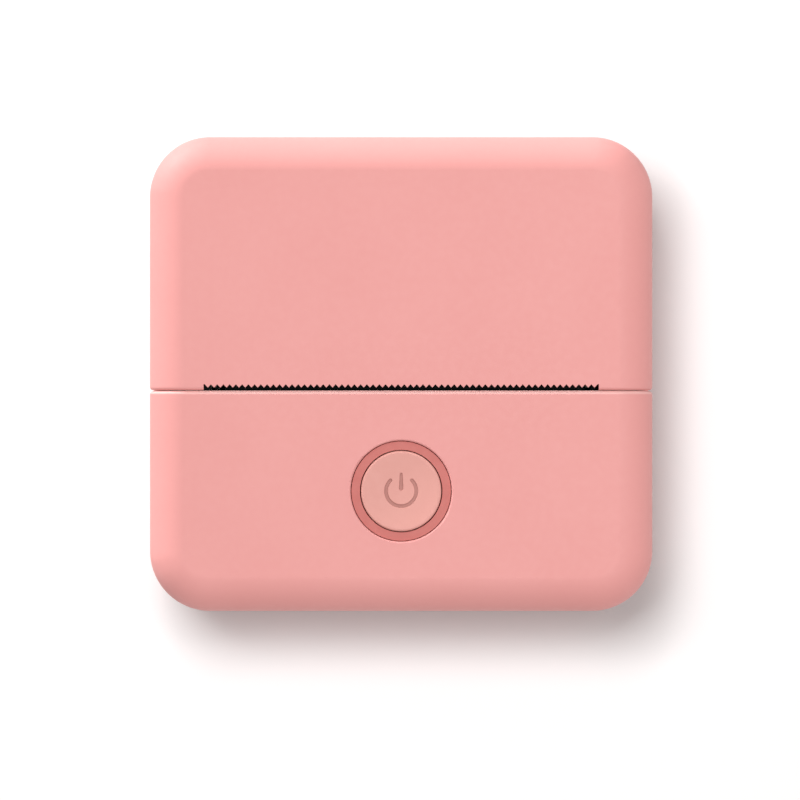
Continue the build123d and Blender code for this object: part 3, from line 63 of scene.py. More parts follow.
# %% [markdown]
# ## Camera
# The photo looks straight down from far away, so the sides of the case are hidden and its top shows without
# distortion. A long lens a metre up does the same. The case is 502 pixels wide in an 800 pixel frame, and its middle
# stands a little above the middle of the picture, so the camera stands that much in front of it.

# %% Camera
case_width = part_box("front_cover")[1].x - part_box("front_cover")[0].x
photo_side = 800
case_width_pixels = 502.3
case_middle_pixel = (401.15, 374.0)
camera_height = 1.0
widest_height = 0.0364

frame_side = photo_side * case_width / case_width_pixels
pixel = frame_side / photo_side
camera_x = (photo_side / 2 - case_middle_pixel[0]) * pixel
camera_y = (case_middle_pixel[1] - photo_side / 2) * pixel

bpy.ops.object.camera_add(location=(camera_x, camera_y, camera_height), rotation=(0, 0, 0))
camera = bpy.context.object
camera.name = "camera"
camera.data.sensor_width = 36
camera.data.lens = 36 * (camera_height - widest_height) / frame_side
camera.data.clip_end = 10
bpy.context.scene.camera = camera
print("one pixel is", round(pixel / MM, 4), "mm, lens", round(camera.data.lens), "mm")

# %% [markdown]
# ## Light and floor
# The photo is a studio picture on white. Most of the light comes from nearly overhead. A long low lamp at the rear
# left makes the rear and left roundings pale, and a weak lamp halfway up there draws the light line along the seam.
# The shadow is short and falls to the front right, so the floor has its own lamp, a little to the rear left of
# overhead. Light linking keeps each lamp to the object or to the floor. The room's light is a little pink, as the
# case throws its colour back onto the white around it. The floor is plain, and is lifted towards white only where
# the camera or a reflection looks at it.

# %% World and lamps
world = bpy.data.worlds.new("studio")
bpy.context.scene.world = world
world.use_nodes = True
world_nodes = world.node_tree.nodes
world_links = world.node_tree.links
world_nodes.clear()
world_output = world_nodes.new("ShaderNodeOutputWorld")
room_light = world_nodes.new("ShaderNodeBackground")
room_light.inputs["Color"].default_value = (1.0, 0.93, 0.91, 1)
room_light.inputs["Strength"].default_value = 0.34
white_view = world_nodes.new("ShaderNodeBackground")
white_view.inputs["Strength"].default_value = 1.0
seen = world_nodes.new("ShaderNodeLightPath")
which = world_nodes.new("ShaderNodeMixShader")
world_links.new(seen.outputs["Is Camera Ray"], which.inputs["Fac"])
world_links.new(room_light.outputs["Background"], which.inputs[1])
world_links.new(white_view.outputs["Background"], which.inputs[2])
world_links.new(which.outputs["Shader"], world_output.inputs["Surface"])


def soft_lamp(name, place, target, width, height, power):
    """A softbox that faces its target."""
    bpy.ops.object.light_add(type="AREA", location=place)
    lamp = bpy.context.object
    lamp.name = name
    lamp.rotation_euler = (Vector(target) - Vector(place)).to_track_quat("-Z", "Y").to_euler()
    lamp.data.shape = "RECTANGLE"
    lamp.data.size = width
    lamp.data.size_y = height
    lamp.data.energy = power
    print(name, "at", place, "power", power)
    return lamp


case_middle = (0, 0, 0.03)
case_inside = (0, 0, 0.02)
seam_lamp = soft_lamp("seam_lamp", (-0.24, 0.89, 0.77), case_middle, width=0.6, height=0.6, power=2.8)
low_lamp = soft_lamp("low_lamp", (-0.78, 0.91, 0.09), case_middle, width=0.6, height=0.14, power=14.6)
overhead_lamp = soft_lamp("overhead_lamp", (0.18, -0.02, 0.98), case_inside, width=0.22, height=0.22, power=4.8)
floor_lamp = soft_lamp("floor_lamp", (-0.11, 0.16, 1.0), case_inside, width=0.26, height=0.26, power=8.6)

# %% Floor
floor_size = 6
floor_height = -0.02 * MM
floor_grey = 0.8
camera_lift = 0.15
bpy.ops.object.select_all(action="DESELECT")
bpy.ops.mesh.primitive_plane_add(size=floor_size, location=(0, 0, floor_height))
floor = bpy.context.object
floor.name = "floor"
floor_paint = bpy.data.materials.new("floor_white")
floor_paint.use_nodes = True
floor_nodes = floor_paint.node_tree.nodes
floor_links = floor_paint.node_tree.links
floor_nodes.clear()
floor_output = floor_nodes.new("ShaderNodeOutputMaterial")
floor_matt = floor_nodes.new("ShaderNodeBsdfDiffuse")
floor_matt.inputs["Color"].default_value = (floor_grey, floor_grey, floor_grey, 1)
floor_lift = floor_nodes.new("ShaderNodeEmission")
floor_lift.inputs["Color"].default_value = (1, 1, 1, 1)
floor_seen = floor_nodes.new("ShaderNodeLightPath")
either = floor_nodes.new("ShaderNodeMath")
either.operation = "MAXIMUM"
lift_amount = floor_nodes.new("ShaderNodeMath")
lift_amount.operation = "MULTIPLY"
lift_amount.inputs[1].default_value = camera_lift
floor_sum = floor_nodes.new("ShaderNodeAddShader")
floor_links.new(floor_seen.outputs["Is Camera Ray"], either.inputs[0])
floor_links.new(floor_seen.outputs["Is Glossy Ray"], either.inputs[1])
floor_links.new(either.outputs[0], lift_amount.inputs[0])
floor_links.new(lift_amount.outputs[0], floor_lift.inputs["Strength"])
floor_links.new(floor_matt.outputs[0], floor_sum.inputs[0])
floor_links.new(floor_lift.outputs[0], floor_sum.inputs[1])
floor_links.new(floor_sum.outputs[0], floor_output.inputs["Surface"])
floor.data.materials.append(floor_paint)


def link_floor(lamp, state):
    """Makes a lamp skip the floor, or light nothing else."""
    receivers = bpy.data.collections.new(lamp.name + "_receivers")
    receivers.objects.link(floor)
    receivers.collection_objects[0].light_linking.link_state = state
    lamp.light_linking.receiver_collection = receivers
    print(lamp.name, state.lower(), "the floor")


for lamp in (seam_lamp, low_lamp, overhead_lamp):
    link_floor(lamp, "EXCLUDE")
link_floor(floor_lamp, "INCLUDE")
bpy.context.scene.view_settings.view_transform = "Standard"

# %% [markdown]
# ## Shared surface effects
# Moulded plastic is never perfectly even: a spark-eroded mould leaves a fine grain, and the colour clouds a little.
# Turned, rolled and brushed metal has streaks along one way. Each effect is a node group that is built once and used
# in many materials, each time with its own size and strength. A group gives only colours, masks and heights.


# %% Group tools
def new_group(name, inputs, outputs):
    """An empty shader node group with named sockets, and its input and output nodes."""
    group = bpy.data.node_groups.new(name, "ShaderNodeTree")
    for socket_name, kind, value in inputs:
        socket = group.interface.new_socket(name=socket_name, in_out="INPUT", socket_type=kind)
        socket.default_value = value
    for socket_name, kind in outputs:
        group.interface.new_socket(name=socket_name, in_out="OUTPUT", socket_type=kind)
    return group, group.nodes.new("NodeGroupInput"), group.nodes.new("NodeGroupOutput")


def noise(group, scale, detail=3.0, roughness=0.5):
    """A noise texture node with a fixed size."""
    texture = group.nodes.new("ShaderNodeTexNoise")
    texture.inputs["Scale"].default_value = scale
    texture.inputs["Detail"].default_value = detail
    texture.inputs["Roughness"].default_value = roughness
    return texture


def ramp(group, source, low, high):
    """Maps a value from 0.35 to 0.65, where a noise mostly lies, onto low to high."""
    spread = group.nodes.new("ShaderNodeMapRange")
    spread.inputs["From Min"].default_value = 0.35
    spread.inputs["From Max"].default_value = 0.65
    spread.inputs["To Min"].default_value = low
    spread.inputs["To Max"].default_value = high
    group.links.new(source, spread.inputs["Value"])
    return spread.outputs["Result"]


# %% Moulded grain
grain, grain_in, grain_out = new_group(
    "moulded_grain",
    [
        ("Light", "NodeSocketColor", (0.8, 0.8, 0.8, 1)),
        ("Dark", "NodeSocketColor", (0.7, 0.7, 0.7, 1)),
        ("Grain Scale", "NodeSocketFloat", 4000.0),
        ("Rough Low", "NodeSocketFloat", 0.4),
        ("Rough High", "NodeSocketFloat", 0.55),
    ],
    [("Color", "NodeSocketColor"), ("Roughness", "NodeSocketFloat"), ("Height", "NodeSocketFloat")],
)
where = grain.nodes.new("ShaderNodeTexCoord")
cloud = noise(grain, 55.0, 2.0)
speck = noise(grain, 900.0, 2.0)
pits = noise(grain, 4000.0, 2.0, 0.6)
for texture in (cloud, speck, pits):
    grain.links.new(where.outputs["Object"], texture.inputs["Vector"])
grain.links.new(grain_in.outputs["Grain Scale"], pits.inputs["Scale"])
tone = grain.nodes.new("ShaderNodeMix")
tone.data_type = "RGBA"
blend = grain.nodes.new("ShaderNodeMath")
blend.operation = "ADD"
grain.links.new(ramp(grain, cloud.outputs["Fac"], 0.0, 0.75), blend.inputs[0])
grain.links.new(ramp(grain, speck.outputs["Fac"], 0.0, 0.25), blend.inputs[1])
grain.links.new(blend.outputs[0], tone.inputs["Factor"])
grain.links.new(grain_in.outputs["Light"], tone.inputs["A"])
grain.links.new(grain_in.outputs["Dark"], tone.inputs["B"])
sheen_mix = grain.nodes.new("ShaderNodeMapRange")
sheen_mix.inputs["From Min"].default_value = 0.3
sheen_mix.inputs["From Max"].default_value = 0.7
grain.links.new(speck.outputs["Fac"], sheen_mix.inputs["Value"])
grain.links.new(grain_in.outputs["Rough Low"], sheen_mix.inputs["To Min"])
grain.links.new(grain_in.outputs["Rough High"], sheen_mix.inputs["To Max"])
grain.links.new(tone.outputs["Result"], grain_out.inputs["Color"])
grain.links.new(sheen_mix.outputs["Result"], grain_out.inputs["Roughness"])
grain.links.new(pits.outputs["Fac"], grain_out.inputs["Height"])
print("group", grain.name, "with", len(grain.nodes), "nodes")

# %% Metal streaks
streaks, streaks_in, streaks_out = new_group(
    "metal_streaks",
    [
        ("Light", "NodeSocketColor", (0.7, 0.7, 0.7, 1)),
        ("Dark", "NodeSocketColor", (0.5, 0.5, 0.5, 1)),
        ("Stretch", "NodeSocketVector", (1.0, 1.0, 1.0)),
        ("Rough Low", "NodeSocketFloat", 0.25),
        ("Rough High", "NodeSocketFloat", 0.45),
    ],
    [("Color", "NodeSocketColor"), ("Roughness", "NodeSocketFloat"), ("Height", "NodeSocketFloat")],
)
where = streaks.nodes.new("ShaderNodeTexCoord")
pulled = streaks.nodes.new("ShaderNodeVectorMath")
pulled.operation = "MULTIPLY"
lines = noise(streaks, 1200.0, 4.0, 0.6)
spots = noise(streaks, 180.0, 3.0)
streaks.links.new(where.outputs["Object"], pulled.inputs[0])
streaks.links.new(streaks_in.outputs["Stretch"], pulled.inputs[1])
streaks.links.new(pulled.outputs[0], lines.inputs["Vector"])
streaks.links.new(where.outputs["Object"], spots.inputs["Vector"])
tone = streaks.nodes.new("ShaderNodeMix")
tone.data_type = "RGBA"
streaks.links.new(ramp(streaks, lines.outputs["Fac"], 0.0, 1.0), tone.inputs["Factor"])
streaks.links.new(streaks_in.outputs["Light"], tone.inputs["A"])
streaks.links.new(streaks_in.outputs["Dark"], tone.inputs["B"])
dull = streaks.nodes.new("ShaderNodeMapRange")
dull.inputs["From Min"].default_value = 0.3
dull.inputs["From Max"].default_value = 0.7
streaks.links.new(spots.outputs["Fac"], dull.inputs["Value"])
streaks.links.new(streaks_in.outputs["Rough Low"], dull.inputs["To Min"])
streaks.links.new(streaks_in.outputs["Rough High"], dull.inputs["To Max"])
streaks.links.new(tone.outputs["Result"], streaks_out.inputs["Color"])
streaks.links.new(dull.outputs["Result"], streaks_out.inputs["Roughness"])
streaks.links.new(lines.outputs["Fac"], streaks_out.inputs["Height"])
print("group", streaks.name, "with", len(streaks.nodes), "nodes")

# %% [markdown]
# The print head, the circuit board and the socket's tongue carry rows of fine conductors. They are too thin to model,
# so one group draws them: stripes across one direction, kept inside a band along another.

# %% Printed conductors
conductors, conductors_in, conductors_out = new_group(
    "printed_conductors",
    [
        ("Across", "NodeSocketVector", (1.0, 0.0, 0.0)),
        ("Pitch", "NodeSocketFloat", 0.001),
        ("Share", "NodeSocketFloat", 0.5),
        ("Along", "NodeSocketVector", (0.0, 0.0, 1.0)),
        ("Middle", "NodeSocketFloat", 0.0),
        ("Half Length", "NodeSocketFloat", 0.001),
    ],
    [("Mask", "NodeSocketFloat")],
)
where = conductors.nodes.new("ShaderNodeTexCoord")


def measured(direction):
    """How far a point lies along a direction that the group is given."""
    dot = conductors.nodes.new("ShaderNodeVectorMath")
    dot.operation = "DOT_PRODUCT"
    conductors.links.new(where.outputs["Object"], dot.inputs[0])
    conductors.links.new(conductors_in.outputs[direction], dot.inputs[1])
    return dot.outputs["Value"]


def sum_node(operation, first, second, third=None):
    """A math node of the group, whose inputs are sockets."""
    node = conductors.nodes.new("ShaderNodeMath")
    node.operation = operation
    for number, socket in enumerate((first, second, third)):
        if socket is not None:
            conductors.links.new(socket, node.inputs[number])
    return node


turns = sum_node("DIVIDE", measured("Across"), conductors_in.outputs["Pitch"])
phase = sum_node("FRACT", turns.outputs[0], None)
stripe = sum_node("LESS_THAN", phase.outputs[0], conductors_in.outputs["Share"])
inside = sum_node(
    "COMPARE", measured("Along"), conductors_in.outputs["Middle"], conductors_in.outputs["Half Length"]
)
mask = sum_node("MULTIPLY", stripe.outputs[0], inside.outputs[0])
conductors.links.new(mask.outputs[0], conductors_out.inputs["Mask"])
print("group", conductors.name, "with", len(conductors.nodes), "nodes")

# %% [markdown]
# The cover's edge at the paper slot gets a pale line of painted highlight, which stands in for light on its rounded
# edge. This group gives the mask of that painted highlight, which fades along one direction.

# %% Painted edge highlight
edge_highlight, highlight_in, highlight_out = new_group(
    "painted_edge_highlight",
    [
        ("Direction", "NodeSocketVector", (0.0, 1.0, 0.0)),
        ("Fades At", "NodeSocketFloat", 0.0),
        ("Full At", "NodeSocketFloat", 0.001),
        ("Amount", "NodeSocketFloat", 1.0),
    ],
    [("Mask", "NodeSocketFloat")],
)
# the mask of a painted highlight, fading along one direction
where = edge_highlight.nodes.new("ShaderNodeTexCoord")
reach = edge_highlight.nodes.new("ShaderNodeVectorMath")
reach.operation = "DOT_PRODUCT"
fade = edge_highlight.nodes.new("ShaderNodeMapRange")
fade.interpolation_type = "SMOOTHSTEP"
edge_highlight.links.new(where.outputs["Object"], reach.inputs[0])
edge_highlight.links.new(highlight_in.outputs["Direction"], reach.inputs[1])
edge_highlight.links.new(reach.outputs["Value"], fade.inputs["Value"])
edge_highlight.links.new(highlight_in.outputs["Fades At"], fade.inputs["From Min"])
edge_highlight.links.new(highlight_in.outputs["Full At"], fade.inputs["From Max"])
edge_highlight.links.new(highlight_in.outputs["Amount"], fade.inputs["To Max"])
edge_highlight.links.new(fade.outputs["Result"], highlight_out.inputs["Mask"])
print("group", edge_highlight.name, "with", len(edge_highlight.nodes), "nodes")

# %% [markdown]
# ## Finishes
# A finish is one Principled shader fed by one of the groups. The colours were judged from the photo and are
# written as screen values, then turned into the linear values that Blender works with.


# %% Finish makers
def screen(red, green, blue):
    """A colour given in screen values of 0 to 255, as Blender's linear colour."""

    def linear(value):
        part = value / 255
        return part / 12.92 if part <= 0.04045 else ((part + 0.055) / 1.055) ** 2.4

    return (linear(red), linear(green), linear(blue), 1)


def finish(name, group, values, bump_height, constants):
    """A material: one group into one Principled shader, with a bump whose height is in metres."""
    paint = bpy.data.materials.new(name)
    paint.use_nodes = True
    nodes, links = paint.node_tree.nodes, paint.node_tree.links
    shader = nodes["Principled BSDF"]
    effect = nodes.new("ShaderNodeGroup")
    effect.node_tree = group
    effect.location = (-500, 200)
    for socket, value in values.items():
        effect.inputs[socket].default_value = value
    bump = nodes.new("ShaderNodeBump")
    bump.location = (-250, -200)
    bump.inputs["Strength"].default_value = 1.0
    bump.inputs["Distance"].default_value = bump_height
    links.new(effect.outputs["Color"], shader.inputs["Base Color"])
    links.new(effect.outputs["Roughness"], shader.inputs["Roughness"])
    links.new(effect.outputs["Height"], bump.inputs["Height"])
    links.new(bump.outputs["Normal"], shader.inputs["Normal"])
    for socket, value in constants.items():
        shader.inputs[socket].default_value = value
    return paint


def plastic(name, light, dark, rough=(0.45, 0.58), grain_scale=4000.0, bump_height=0.000004, **constants):
    """A moulded plastic with a fine grain."""
    values = {
        "Light": screen(*light),
        "Dark": screen(*dark),
        "Grain Scale": grain_scale,
        "Rough Low": rough[0],
        "Rough High": rough[1],
    }
    return finish(name, grain, values, bump_height, constants)


def metal(name, light, dark, stretch=(1, 1, 1), rough=(0.22, 0.4), bump_height=0.000002, **constants):
    """A bare or plated metal with streaks along the direction that is stretched least."""
    values = {
        "Light": screen(*light),
        "Dark": screen(*dark),
        "Stretch": stretch,
        "Rough Low": rough[0],
        "Rough High": rough[1],
    }
    return finish(name, streaks, values, bump_height, {"Metallic": 1.0, **constants})


def soft_touch(name, light, dark, rough=(0.5, 0.6)):
    """A plastic with the dull rubbery coat of the case."""
    return plastic(name, light, dark, rough, **{"Specular IOR Level": 0.2})


# %% The finishes
case_pink = ((240, 168, 164), (238, 165, 161))
finishes = {
    "pink_case": soft_touch("pink_soft_touch", *case_pink),
    "pink_ring": soft_touch("pink_ring", (214, 128, 121), (209, 122, 116)),
    "black_plastic": plastic("black_moulded", (34, 33, 33), (29, 28, 29), (0.46, 0.54), 4200.0, 0.000005),
    "white_plastic": plastic("natural_acetal", (232, 230, 220), (224, 221, 209), (0.28, 0.4), 3000.0, 0.000002),
    "black_rubber": plastic("ground_rubber", (38, 38, 39), (28, 28, 29), (0.7, 0.85), 1800.0, 0.000014),
    "black_resin": plastic("epoxy_resin", (24, 24, 26), (16, 16, 18), (0.12, 0.3), 1200.0, 0.000003),
    "cable_film": plastic("polyimide_film", (196, 122, 38), (176, 104, 28), (0.18, 0.3), 800.0, 0.000002),
    "cell_wrap": plastic("cell_foil", (168, 172, 178), (148, 152, 158), (0.25, 0.45), 500.0, 0.000012),
    "ceramic": plastic("glazed_ceramic", (232, 228, 216), (222, 218, 205), (0.08, 0.16), 600.0, 0.000001),
    "circuit_board": plastic("solder_mask", (14, 84, 52), (10, 70, 42), (0.18, 0.3), 700.0, 0.000004),
    "steel": metal("turned_steel", (196, 194, 190), (150, 148, 145), (1, 14, 14)),
    "zinc_steel": metal("zinc_plate", (206, 204, 196), (170, 168, 160), (3, 3, 3), (0.18, 0.42), 0.000004),
    "aluminium": metal("extruded_aluminium", (208, 210, 212), (176, 178, 181), (1, 18, 18), (0.25, 0.42)),
}
print(len(finishes), "finishes")


# %% Conductors and painted highlights laid over a finish
def lay_over(paint, group, colour, metallic=False, **values):
    """Adds a second colour to a finish, where a group's mask says, and makes it metal if asked."""
    nodes, links = paint.node_tree.nodes, paint.node_tree.links
    shader = nodes["Principled BSDF"]
    masking = nodes.new("ShaderNodeGroup")
    masking.node_tree = group
    for socket, value in values.items():
        masking.inputs[socket.replace("_", " ")].default_value = value
    over = nodes.new("ShaderNodeMix")
    over.data_type = "RGBA"
    under = shader.inputs["Base Color"].links[0].from_socket
    links.new(under, over.inputs["A"])
    over.inputs["B"].default_value = screen(*colour)
    links.new(masking.outputs["Mask"], over.inputs["Factor"])
    links.new(over.outputs["Result"], shader.inputs["Base Color"])
    if metallic:
        links.new(masking.outputs["Mask"], shader.inputs["Metallic"])


def print_over(paint, colour, metallic, **values):
    """Adds rows of conductors to a finish."""
    lay_over(paint, conductors, colour, metallic, **values)


sideways, upwards, forwards = (1, 0, 0), (0, 0, 1), (0, 1, 0)
nip_z = (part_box("roller_rubber")[0].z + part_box("roller_rubber")[1].z) / 2
head_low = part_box("print_head")[0].z
glaze_margin = 0.8 * MM
heater_half = 0.35 * MM
board_traces = (-24 * MM, 9 * MM)
contact_margin = 0.7 * MM
print_over(
    finishes["ceramic"], (196, 158, 84), False, Across=sideways, Pitch=0.5 * MM, Share=0.55, Along=upwards,
    Middle=(head_low + nip_z) / 2, Half_Length=(nip_z - head_low) / 2 - glaze_margin,
)
print_over(
    finishes["ceramic"], (70, 46, 34), False, Across=sideways, Pitch=1.0, Share=1.0, Along=upwards,
    Middle=nip_z, Half_Length=heater_half,
)
print_over(
    finishes["circuit_board"], (34, 118, 74), False, Across=(0.8, 0.6, 0), Pitch=1.3 * MM, Share=0.22,
    Along=forwards, Middle=board_traces[0], Half_Length=board_traces[1],
)
tongue_low, tongue_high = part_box("socket_tongue")
finishes["tongue"] = plastic("socket_tongue", (30, 30, 32), (24, 24, 26), (0.3, 0.45), 2600.0, 0.000004)
print_over(
    finishes["tongue"], (214, 178, 96), True, Across=forwards, Pitch=0.5 * MM, Share=0.5, Along=sideways,
    Middle=(tongue_low.x + tongue_high.x) / 2, Half_Length=(tongue_high.x - tongue_low.x) / 2 - contact_margin,
)
print("conductors on the head, the board and the tongue")

# %% A painted highlight on the cover's edge
cover_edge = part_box("front_cover")[1].y
fade_start, fade_end = cover_edge - 0.6 * MM, cover_edge - 0.1 * MM
finishes["cover"] = soft_touch("cover_with_painted_highlight", *case_pink)
# painted highlight: a pale colour along the cover's rear edge stands in for light on its rounding
lay_over(
    finishes["cover"], edge_highlight, (255, 226, 219), Direction=forwards, Fades_At=fade_start, Full_At=fade_end,
    Amount=0.5,
)
print("pale edge at", round(cover_edge / MM, 2), "mm")

# %% Every node gets its slot's finish
slot_of = {part["node"]: part["material_slot"] for part in frame["record"]["subparts"]}
for name, node in frame["nodes"].items():
    node.data.materials.clear()
    node.data.materials.append(finishes[slot_of[name]])
frame["nodes"]["socket_tongue"].data.materials[0] = finishes["tongue"]
frame["nodes"]["front_cover"].data.materials[0] = finishes["cover"]
print(len(slot_of), "nodes dressed")

# %% [markdown]
# ## Case shells with softened edges
# A mould never gives a knife edge. The casings are copied from the frame, their loose triangles are welded and their
# flat faces joined, and a bevel of less than a tenth of a millimetre breaks each edge. That catches the light along
# the seam and on the tips of the tear teeth, as in the photo. Weighted normals let the large flat faces lead, so no
# streaks run across them. A copy keeps the exact outline, which modelling them afresh would only approach.
#
# Beside the paper slot the seam isn't open to the dark inside. The cover has a narrow lip there, just below the
# rounded edge, which light still reaches, so the seam shows brown in the photo and not black. The cover's rear face
# is cut at the ends of the slot, and what lies outside them is extruded into the seam.


# %% Copy a casing and break its edges
def only(piece):
    """Makes a piece the one that the next operator works on."""
    bpy.ops.object.select_all(action="DESELECT")
    piece.select_set(True)
    bpy.context.view_layer.objects.active = piece


def add_seam_lip(piece):
    """Extrudes the cover's rear face into the seam, on both sides of the slot."""
    rear_y = max(vertex.co.y for vertex in piece.data.vertices)
    seam_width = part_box("lid_shell")[0].y - rear_y
    slot_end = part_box("head_frame")[1].x
    same_plane = 0.001 * MM
    lip_share = 0.5

    for side in (-1, 1):
        bpy.ops.mesh.select_all(action="SELECT")
        bpy.ops.mesh.bisect(plane_co=(side * slot_end, 0, 0), plane_no=(1, 0, 0))
    bpy.ops.mesh.select_all(action="DESELECT")
    bpy.ops.object.mode_set(mode="OBJECT")
    for face in piece.data.polygons:
        corners = [piece.data.vertices[number].co for number in face.vertices]
        in_plane = all(abs(corner.y - rear_y) < same_plane for corner in corners)
        face.select = in_plane and abs(face.center.x) > slot_end
    chosen = sum(face.select for face in piece.data.polygons)
    print("lip on", chosen, "faces, seam", round(seam_width / MM, 2), "mm")
    bpy.ops.object.mode_set(mode="EDIT")
    bpy.ops.mesh.extrude_region_move(TRANSFORM_OT_translate={"value": (0, lip_share * seam_width, 0)})


def broken_edges(node, name, body, width, reshape=None):
    """A copy of a node whose sharp edges are bevelled, riding on its body in the node's place."""
    source = frame["nodes"][node]
    piece = bpy.data.objects.new(name, source.data.copy())
    bpy.context.scene.collection.objects.link(piece)
    only(piece)
    bpy.ops.object.mode_set(mode="EDIT")
    bpy.ops.mesh.select_all(action="SELECT")
    bpy.ops.mesh.remove_doubles(threshold=0.000001)
    bpy.ops.mesh.dissolve_limited(angle_limit=math.radians(0.5))
    if reshape:
        reshape(piece)
    bpy.ops.object.mode_set(mode="OBJECT")
    bevel = piece.modifiers.new("broken edge", "BEVEL")
    bevel.width = width
    bevel.segments = 2
    bevel.limit_method = "ANGLE"
    bevel.angle_limit = math.radians(40)
    bevel.use_clamp_overlap = True
    bpy.ops.object.modifier_apply(modifier=bevel.name)
    bpy.ops.object.shade_smooth_by_angle(angle=math.radians(30))
    shading = piece.modifiers.new("flat faces lead", "WEIGHTED_NORMAL")
    shading.keep_sharp = True
    bpy.ops.object.modifier_apply(modifier=shading.name)
    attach(piece, body)
    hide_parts(node)
    print(name, "has", len(piece.data.polygons), "faces")
    return piece


mould_edge = 0.08 * MM
broken_edges("lid_shell", "lid_casing", "lid", mould_edge)
broken_edges("front_cover", "front_casing", "base", mould_edge, reshape=add_seam_lip)
broken_edges("button_ring", "button_surround", "base", mould_edge)
broken_edges("base_shell", "base_casing", "base", mould_edge)

# %% [markdown]
# ## Head spring
# A bowed strip of spring steel presses the print head against the roller. Its middle hangs on the frame, and its ends
# lean on the head's heat sink. When paper passes, the head leans back and the strip flattens. Here the strip is a
# stiff copy with broken edges and a mesh of its own, riding on the base, so it would sink into the heat sink as the
# head turns.

# %% A stiff spring strip
spring_edge = 0.04 * MM
spring_strip = broken_edges("head_spring", "spring_strip", "base", spring_edge)
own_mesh(spring_strip)

# %% [markdown]
# ## Power button
# The button is a shallow dished cap with the usual power sign sunk into it: three quarters of a circle, open at the
# top, and a short bar. It is round, so half of its section is drawn and spun about its middle. The rings lie close
# together under the sign. There every point is lowered by how deep it lies inside a stroke, which gives the grooves
# round floors, soft edges and round ends. Cutting them with booleans would leave hard edges and thin faces. The
# floor of each groove gets a second, darker finish, which is painted shade in the recess.

# %% Half section of the cap
cap_low, cap_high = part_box("power_button")
button_x = (cap_low.x + cap_high.x) / 2
button_y = (cap_low.y + cap_high.y) / 2
cap_radius = 6.45 * MM
dish_depth = 0.4 * MM
edge_round = 0.3 * MM
flange_radius = (cap_high.x - cap_low.x) / 2
flange_top = 38.3 * MM
flange_thickness = 1.0 * MM
flange_bottom = flange_top - flange_thickness
stem_radius = 1.6 * MM
sign_reach = 3.2 * MM
fine_step = 0.05 * MM
coarse_steps = 10
round_steps = 6
dish_sphere = (cap_radius**2 + dish_depth**2) / (2 * dish_depth)


def dish_height(radius):
    """The height of the dished face at a distance from its middle."""
    return cap_high.z - dish_depth + dish_sphere - math.sqrt(dish_sphere**2 - radius**2)


fine_rings = [fine_step * number for number in range(int(sign_reach / fine_step))]
coarse_reach = cap_radius - edge_round - sign_reach
coarse_rings = [sign_reach + coarse_reach * step / coarse_steps for step in range(coarse_steps + 1)]
section = [(radius, dish_height(radius)) for radius in fine_rings + coarse_rings]
rim_height = section[-1][1]
for step in range(1, round_steps + 1):
    angle = math.pi / 2 * step / round_steps
    out, down = edge_round * (1 - math.sin(angle)), edge_round * (1 - math.cos(angle))
    section.append((cap_radius - out, rim_height - down))
section += [
    (cap_radius, flange_top),
    (flange_radius, flange_top),
    (flange_radius, flange_bottom),
    (stem_radius, flange_bottom),
    (stem_radius, cap_low.z),
    (0, cap_low.z),
]
print("section of", len(section), "points")

# %% Spin the section
spin_steps = 288
cap_mesh = bpy.data.meshes.new("button_cap")
cap_mesh.from_pydata(
    [(button_x + radius, button_y, height) for radius, height in section],
    [(number, number + 1) for number in range(len(section) - 1)],
    [],
)
cap = bpy.data.objects.new("button_cap", cap_mesh)
bpy.context.scene.collection.objects.link(cap)
only(cap)
bpy.ops.object.mode_set(mode="EDIT")
bpy.ops.mesh.select_all(action="SELECT")
bpy.ops.mesh.spin(steps=spin_steps, angle=2 * math.pi, center=(button_x, button_y, 0), axis=(0, 0, 1))
bpy.ops.mesh.select_all(action="SELECT")
bpy.ops.mesh.remove_doubles(threshold=0.000001)
bpy.ops.mesh.normals_make_consistent(inside=False)
bpy.ops.object.mode_set(mode="OBJECT")
print("cap has", len(cap_mesh.polygons), "faces")

# %% Sink the sign
sign_radius = 2.43 * MM
stroke_half = 0.33 * MM
gap_angle = math.radians(45)
bar_top = (2.72 * MM, 0.26 * MM)
bar_bottom = (0.42 * MM, 0.40 * MM)
sign_depth = 0.2 * MM
wall_width = 0.16 * MM
floor_share = 0.3


def inside_arc(x, y):
    """How far a place lies inside the open circle's stroke, and less than nothing outside it."""
    off_top = abs(math.atan2(x, y))
    if off_top > gap_angle:
        return stroke_half - abs(math.hypot(x, y) - sign_radius)
    end_x = math.copysign(sign_radius * math.sin(gap_angle), x)
    end_y = sign_radius * math.cos(gap_angle)
    return stroke_half - math.hypot(x - end_x, y - end_y)


def inside_bar(x, y):
    """The same for the bar, which widens towards the middle of the cap."""
    along = min(max((bar_top[0] - y) / (bar_top[0] - bar_bottom[0]), 0), 1)
    middle_y = bar_top[0] + (bar_bottom[0] - bar_top[0]) * along
    half_width = bar_top[1] + (bar_bottom[1] - bar_top[1]) * along
    return half_width - math.hypot(x, y - middle_y)


def groove_depth(x, y):
    """The depth of the sign at a place, with soft edges and a rounded floor."""
    share = min(max(max(inside_arc(x, y), inside_bar(x, y)) / wall_width, 0), 1)
    return sign_depth * share * share * (3 - 2 * share)


sunk = 0
for vertex in cap_mesh.vertices:
    x, y = vertex.co.x - button_x, vertex.co.y - button_y
    if vertex.co.z > flange_top and math.hypot(x, y) < sign_reach:
        depth = groove_depth(x, y)
        vertex.co.z -= depth
        sunk += depth > 0
bpy.ops.object.shade_smooth_by_angle(angle=math.radians(50))
cap_mesh.materials.append(soft_touch("button_pink", (234, 170, 160), (230, 166, 156)))
# painted shade: the floors of the sign's grooves get a darker pink finish
cap_mesh.materials.append(soft_touch("sign_floor_painted_shade", (198, 142, 134), (190, 134, 126), (0.6, 0.7)))
for face in cap_mesh.polygons:
    x, y = face.center.x - button_x, face.center.y - button_y
    if face.center.z > flange_top and groove_depth(x, y) > floor_share * sign_depth:
        face.material_index = 1
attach(cap, "button")
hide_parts("power_button")
print(sunk, "points sunk for the sign")

